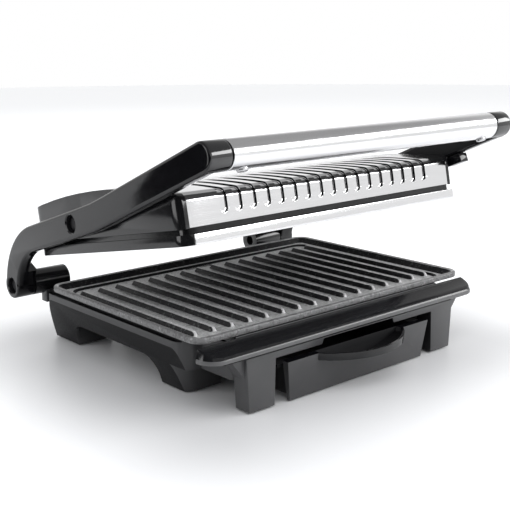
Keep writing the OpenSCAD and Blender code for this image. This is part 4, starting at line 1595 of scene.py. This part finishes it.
@dataclass
class Lid:
    """The lid's cover, dark shell, frame, trim and plate."""

    depth: float = 180.0
    plate: GrillPlate = field(
        default_factory=lambda: GrillPlate("upper", 243.2, 171.2, ridge_count=15, lip=5.9))
    plate_rise: float = 0.6
    cover: SteelCover = field(default_factory=SteelCover)
    gap_half: float = 120.0
    gap_depth: float = 6.0
    gap_height: Point2 = (6.4, 10.1)

    def in_gap(self, at: Vector, _: Vector) -> bool:
        """Whether a face of the frame is in the gap between the cover and the trim, where shade is
        painted.
        """
        high = self.gap_height[0] < at.z < self.gap_height[1]
        return abs(at.x) < self.gap_half and at.y < self.gap_depth and high

    def build(self, finishes: Finishes) -> None:
        """Builds the lid from its cover down to its plate.

        Args:
            finishes: the press's finishes.
        """
        self.cover.build(finishes)
        pieces = shells(Body.LID, (
            ("upper_housing", finishes.gloss_lid, Slot.GLOSS, 0.0009),
            ("lid_frame", finishes.gloss_lid, Slot.GLOSS, 0.0007),
            ("front_trim", finishes.trim, Slot.STEEL, 0.0003),
            ("pilot_lights", finishes.lamp, Slot.LAMP, 0.0004),
        ))
        matrix = POSE.lid()
        # painted shade in the gap between the cover and the trim
        partly(pieces["lid_frame"], finishes.dark, matrix, self.in_gap)
        over = (Matrix.Translation((0, self.depth / 2, self.plate_rise))
                @ Matrix.Rotation(pi, 4, "Y"))
        back = Matrix.Translation((0, -self.plate.depth / 2, 0))
        self.plate.build(finishes, matrix @ over @ back, Body.LID)


@dataclass
class Base:
    """The lower body: plate, apron, tray surround, shell and hardware."""

    plate: GrillPlate = field(default_factory=lambda: GrillPlate("lower"))
    half: float = 126.5
    apron_out: float = 14.0
    apron_back: float = 45.5
    apron_front: float = 40.2
    apron_under: float = 36.0
    apron_corner: float = 12.0
    apron_corner_steps: int = 10
    apron_seam: float = -0.02
    apron_reach: float = 20.0
    apron_crease: float = 30.0
    apron_lean: float = 0.3
    top_edge: float = 0.25
    top_inset: float = 0.6
    top_share: float = 0.994
    neck: float = 37.4
    barrel_front: float = 193.0
    barrel_low: float = 36.0
    arch: Point2 = (78.0, 160.0)
    arch_top: float = 21.0
    arch_side: float = 117.0
    deck_low: float = 12.0
    opening: float = 75.5
    bar_top: float = 36.0

    def apron(self) -> Object:
        """The sloping glossy apron in front of the plate, its front corners round in plan.

        Returns:
            The apron.
        """
        rings = []
        for inset, z in (
            (2.2, self.apron_under), (0.6, self.apron_under + 0.3), (0.0, self.apron_under + 1.0),
            (0.0, self.apron_front - 1.6), (0.35, self.apron_front - 0.7),
            (1.2, self.apron_front - 0.05),
        ):
            outline = rounded(-self.half + inset, self.half - inset, -self.apron_out + inset,
                              self.apron_reach, self.apron_corner - inset,
                              self.apron_corner_steps)
            rings.append([Vector((x, min(y, self.apron_seam), z)) for x, y in outline])
        rise = (self.apron_back - self.apron_front) / self.apron_out

        def height(y: float) -> float:
            """The sloping top's height."""
            return self.apron_front + rise * (y + self.apron_out)

        edge = [Vector((v.x, v.y, max(v.z, height(v.y) - self.top_edge))) for v in rings[-1]]
        top = []
        for v in edge:
            y = min(v.y + self.top_inset, self.apron_seam)
            top.append(Vector((v.x * self.top_share, y, height(y))))
        return skin("apron", rings[:-1] + [edge, top])

    def apron_face(self, at: Vector, normal: Vector) -> bool:
        """Whether a face of the apron is on its upright front, which gets a painted sheen."""
        return at.z < self.apron_front - 1 and normal.z > -self.apron_lean

    def barrels(self, at: Vector, _: Vector) -> bool:
        """Whether a face of the shell is on its hinge barrels."""
        return at.y > self.barrel_front and at.z > self.barrel_low

    def shaded(self, at: Vector, normal: Vector) -> bool:
        """Whether a face of the shell is on its neck under the plate or inside an arch, where
        shade is painted.

        Args:
            at: the face's middle.
            normal: its normal.

        Returns:
            True for a face there, or under the rear deck.
        """
        neck = at.z > self.neck and at.y < self.barrel_front
        beside = self.arch[0] < at.y < self.arch[1]
        within = abs(at.x) < self.arch_side and at.z < self.arch_top and beside
        return neck or within or (at.z > self.deck_low and normal.z < -FACING)

    def behind(self, at: Vector, normal: Vector) -> bool:
        """Whether a face of the surround is on the opening's inner side or at its back, where
        shade is painted.

        Args:
            at: the face's middle.
            normal: its normal.

        Returns:
            True for a face there.
        """
        inward = abs(normal.x) > FACING or abs(normal.z) > FACING
        inner = abs(at.x) < self.opening and at.z < self.bar_top and inward
        return inner or normal.y > FACING

    def build(self, finishes: Finishes) -> None:
        """Builds everything that stands still.

        Args:
            finishes: the press's finishes.
        """
        matrix = POSE.base()
        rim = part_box("lower_grill_plate")[1][2] / MM
        self.plate.build(finishes, matrix @ Matrix.Translation((0, 0, rim)), Body.BASE)
        apron = place(shade(self.apron(), self.apron_crease), matrix)
        dress(apron, finishes.gloss_lid, Body.BASE, Slot.GLOSS, "front_apron")
        pieces = shells(Body.BASE, (
            ("base_shell", finishes.satin, Slot.SATIN, 0.0009),
            ("tray_surround", finishes.satin_mid, Slot.SATIN, 0.0006),
            ("bottom_cover", finishes.satin, Slot.SATIN, 0.0004),
            ("cord_gland", finishes.rubber, Slot.RUBBER, 0.0005),
            ("rubber_feet", finishes.rubber, Slot.RUBBER, 0.0004),
        ))
        # a painted sheen on the apron's front; painted shade on the shell's neck, arches and
        # underside and in the surround's opening
        for piece, material, there in (
            (apron, finishes.satin_painted_sheen, self.apron_face),
            (pieces["base_shell"], finishes.pin, self.shaded),
            (pieces["base_shell"], finishes.gloss_lid, self.barrels),
            (pieces["tray_surround"], finishes.pin, self.behind),
        ):
            partly(piece, material, matrix, there)


@dataclass
class Inside:
    """What the shells hide: heaters, shields, thermostats, terminals and screws."""

    rods: tuple[str, ...] = ("lower_heating_rod", "upper_heating_rod")
    shields: tuple[str, ...] = ("lower_heat_shield", "upper_heat_shield")
    ceramics: tuple[str, ...] = ("lower_thermostat", "upper_thermostat", "terminal_block")
    screws: tuple[str, ...] = ("base_screws", "lid_screws", "cover_screws")

    def build(self, finishes: Finishes) -> None:
        """Finishes the hidden nodes.

        Args:
            finishes: the press's finishes.
        """
        for nodes, material in ((self.rods, finishes.rod), (self.shields, finishes.sheet),
                                (self.ceramics, finishes.ceramic), (self.screws, finishes.bright)):
            for node in nodes:
                carried(node, material)


@dataclass
class Sliders:
    """The drip tray and the lock slider."""

    face_front: float = -16.2
    face_back: float = -11.2
    pull_half: float = 41.5
    pan_half: float = 60.8
    rim_top: float = 27.2
    wall: float = 0.5
    hollow_lean: float = 0.25
    tray_rounding: float = 0.0006
    slider_rounding: float = 0.0005

    def build(self, finishes: Finishes) -> None:
        """Builds both sliding pieces.

        Args:
            finishes: the press's finishes.
        """
        matrix = POSE.base()
        tray = dress(softened("drip_tray", self.tray_rounding), finishes.satin_tray, Body.TRAY,
                     Slot.SATIN, "drip_tray")
        partly(tray, finishes.gloss, matrix, self.pull)
        # painted shade beside the pan and in the pull's hollow
        partly(tray, finishes.pin, matrix, self.hidden)
        dress(softened("lock_slider", self.slider_rounding), finishes.gloss, Body.SLIDER,
              Slot.GLOSS, "lock_slider")

    def pull(self, at: Vector, _: Vector) -> bool:
        """Whether a face of the tray is on its pull."""
        return at.y < self.face_front and abs(at.x) < self.pull_half

    def hidden(self, at: Vector, normal: Vector) -> bool:
        """Whether a face of the tray is beside its pan, or in or behind its pull's hollow, where
        shade is painted.

        Args:
            at: the face's middle.
            normal: its normal.

        Returns:
            True for a face there.
        """
        if abs(at.x) >= self.pull_half:
            return at.y > self.face_back and abs(at.x) > self.pan_half
        inward = max(normal.y, normal.z) > self.hollow_lean
        hollow = at.z < self.rim_top and inward and at.y < self.face_back
        return hollow or abs(at.y - self.face_back) < self.wall


# ---------------------------------------------------------------- studio


@dataclass(frozen=True)
class Lamp:
    """A soft lamp: its place and size in metres and its power in watts.

    Gloss shows it as a bright patch only where it is mirrored.
    """

    name: str
    at: Point3
    size: Point2
    power: float
    mirrored: bool = False

    def hang(self, aim: Vector) -> None:
        """Hangs the lamp.

        Args:
            aim: what it shines on.
        """
        data = bpy.data.lights.new(self.name, "AREA")
        data.shape, data.energy = "RECTANGLE", self.power
        data.size, data.size_y = self.size
        obj = linked(self.name, data)
        obj.visible_glossy = self.mirrored
        way = (aim - Vector(self.at)).to_track_quat("-Z", "Y")
        obj.matrix_world = Matrix.Translation(self.at) @ way.to_matrix().to_4x4()


@dataclass(frozen=True)
class Card:
    """A card that only gloss sees: dark to keep black surfaces deep, or bright for a highlight.

    Its lowest and highest corners are in metres, and it is upright where they share an X.
    """

    name: str
    low: Point3
    high: Point3
    strength: float

    def stand(self) -> None:
        """Stands the card up as part of the stage."""
        low, high = Vector(self.low), Vector(self.high)
        upright = low.x == high.x
        side = Vector((0, high.y - low.y, 0)) if upright else Vector((high.x - low.x, 0, 0))
        obj = new_object(self.name, (low, low + side, high, high - side), [(0, 1, 2, 3)])
        made, graph = blank_material(self.name)
        gloss = graph.add("ShaderNodeLightPath").outputs["Is Glossy Ray"]
        clear = graph.out("ShaderNodeBsdfTransparent")
        lit = graph.out("ShaderNodeEmission", {"Color": (1, 1, 1, 1), "Strength": self.strength})
        mix = graph.out("ShaderNodeMixShader", {0: gloss, 1: clear, 2: lit})
        graph.add("ShaderNodeOutputMaterial", {"Surface": mix})
        obj.data.materials.append(made)


@dataclass
class Studio:
    """Camera, room, floor, lamps and cards."""

    camera_at: Point3 = (-453.55, -425.77, 226.6)
    yaw: float = 41.27
    pitch: float = 13.11
    roll: float = -0.31
    lens: float = 68.2
    sensor: float = 36.0
    reach: float = 50.0
    aim: Point3 = (0.0, 0.0, 0.07)
    ambient: float = 0.55
    ambient_color: Point3 = (0.96, 0.98, 1.0)
    ceiling: float = 0.42
    ceiling_rise: Point2 = (0.3, 0.62)
    floor_radius: float = 3.5
    floor_steps: int = 64
    floor_color: Point3 = (0.72, 0.72, 0.73)
    floor_roughness: float = 0.35
    floor_specular: float = 0.3
    floor_glow: float = 0.38
    glow_color: Point3 = (0.98, 0.99, 1.0)
    # painted shadow: the glow stays off this box under the press and comes in over this reach
    painted_shadow_reach: float = 0.11
    painted_shadow_footprint: Point2 = (0.125, 0.11)
    lamps: tuple[Lamp, ...] = (
        Lamp("key", (-0.5, -0.7, 1.5), (1.4, 1.0), 9),
        Lamp("window", (1.02, -1.1, 0.76), (1.6, 0.46), 17, True),
        Lamp("left", (-1.5, 0.5, 0.7), (1.0, 1.0), 6),
        Lamp("rear", (0.5, 1.5, 1.2), (1.6, 0.8), 12),
    )
    cards: tuple[Card, ...] = (
        Card("flag", (-0.45, -0.95, 0.0), (-0.45, 0.40, 0.3), 0.03),
        Card("strip", (-0.44, -0.02, 0.06), (-0.44, 0.15, 0.3), 3.0),
    )
    shade_low: Point3 = (-130.0, -9.0, 148.0)
    shade_high: Point3 = (220.0, 16.0, 148.0)
    shade_strength: float = 0.06

    def camera(self) -> None:
        """Sets up the camera."""
        data = bpy.data.cameras.new("camera")
        data.lens, data.sensor_width, data.clip_end = self.lens, self.sensor, self.reach
        obj = linked("camera", data)
        obj.matrix_world = (
            Matrix.Translation(POSE.base() @ Vector(self.camera_at))
            @ Matrix.Rotation(radians(-self.yaw), 4, "Z")
            @ Matrix.Rotation(radians(90 - self.pitch), 4, "X")
            @ Matrix.Rotation(radians(self.roll), 4, "Z")
        )
        bpy.context.scene.camera = obj

    @staticmethod
    def rays(graph: Graph) -> tuple[Socket, Socket]:
        """Tells rays apart.

        Args:
            graph: the tree that asks.

        Returns:
            1 for rays straight from the eye, and 1 for rays that come by way of gloss or glass.
        """
        path = graph.add("ShaderNodeLightPath").outputs
        mirror = graph.math("MAXIMUM", path["Is Glossy Ray"], path["Is Transmission Ray"])
        return path["Is Camera Ray"], mirror

    def world(self) -> None:
        """A white room with a dim ceiling over a plain soft light."""
        world = bpy.data.worlds.new("studio")
        bpy.context.scene.world = world
        world.use_nodes = True
        world.node_tree.nodes.clear()
        graph = Graph(world.node_tree)
        seen, gloss = self.rays(graph)
        way = graph.add("ShaderNodeTexCoord").outputs["Generated"]
        rise = graph.add("ShaderNodeSeparateXYZ", {0: way}).outputs[2]
        ceiling = graph.mapped(rise, *self.ceiling_rise, 1.0, self.ceiling, True)
        light, room, white = [
            graph.out("ShaderNodeBackground", {"Color": (*color, 1), "Strength": strength})
            for color, strength in ((self.ambient_color, self.ambient), ((1, 1, 1), ceiling),
                                    ((1, 1, 1), 1.0))
        ]
        mix = graph.out("ShaderNodeMixShader", {0: gloss, 1: light, 2: room})
        mix = graph.out("ShaderNodeMixShader", {0: seen, 1: mix, 2: white})
        graph.add("ShaderNodeOutputWorld", {"Surface": mix})

    def glow(self, graph: Graph) -> Socket:
        """The floor's glow, held off a box round the press so that the ground there is a painted
        shadow.

        Args:
            graph: the floor's tree.

        Returns:
            The glow's shader.
        """
        at = graph.add("ShaderNodeTexCoord").outputs["Object"]
        where = graph.add("ShaderNodeSeparateXYZ", {0: at}).outputs
        squares = []
        for axis, half in enumerate(self.painted_shadow_footprint):
            past = graph.math("SUBTRACT", graph.math("ABSOLUTE", where[axis]), half)
            past = graph.math("MAXIMUM", past, 0.0)
            squares.append(graph.math("MULTIPLY", past, past))
        away = graph.math("SQRT", graph.math("ADD", *squares))
        strength = graph.mapped(away, 0.0, self.painted_shadow_reach, 0.0, self.floor_glow, True)
        return graph.out("ShaderNodeEmission", {"Color": (*self.glow_color, 1),
                                                "Strength": strength})

    def floor(self) -> None:
        """A pale worktop that keeps the press's shadow, with a painted shadow round the press
        where its glow is held off.
        """
        ring = arc((0.0, 0.0), self.floor_radius, 0, 360, self.floor_steps)[:-1]
        obj = new_object("worktop", [(x, y, 0) for x, y in ring], [range(self.floor_steps)])
        made, graph = blank_material("worktop_pale")
        seen, gloss = self.rays(graph)
        matt = graph.out("ShaderNodeBsdfPrincipled", {
            "Base Color": (*self.floor_color, 1), "Roughness": self.floor_roughness,
            "Specular IOR Level": self.floor_specular})
        mixed = graph.out("ShaderNodeAddShader", {0: matt, 1: self.glow(graph)})
        both = graph.math("MAXIMUM", seen, gloss)
        shown = graph.out("ShaderNodeMixShader", {0: both, 1: matt, 2: mixed})
        graph.add("ShaderNodeOutputMaterial", {"Surface": shown})
        obj.data.materials.append(made)

    def build(self) -> None:
        """Builds the whole studio."""
        bpy.context.scene.view_settings.view_transform = "Standard"
        self.camera()
        self.world()
        self.floor()
        for lamp in self.lamps:
            lamp.hang(Vector(self.aim))
        base = POSE.base()
        low, high = [tuple(base @ Vector(v)) for v in (self.shade_low, self.shade_high)]
        for card in (*self.cards, Card("shade", low, high, self.shade_strength)):
            card.stand()


def main() -> None:
    logging.basicConfig(level=logging.INFO, format="%(message)s")
    Studio().build()
    finishes = Finishes()
    for part in (Base(), Arms(), Handle(), Lid(), Inside(), Sliders()):
        part.build(finishes)


if __name__ == "__main__":
    main()
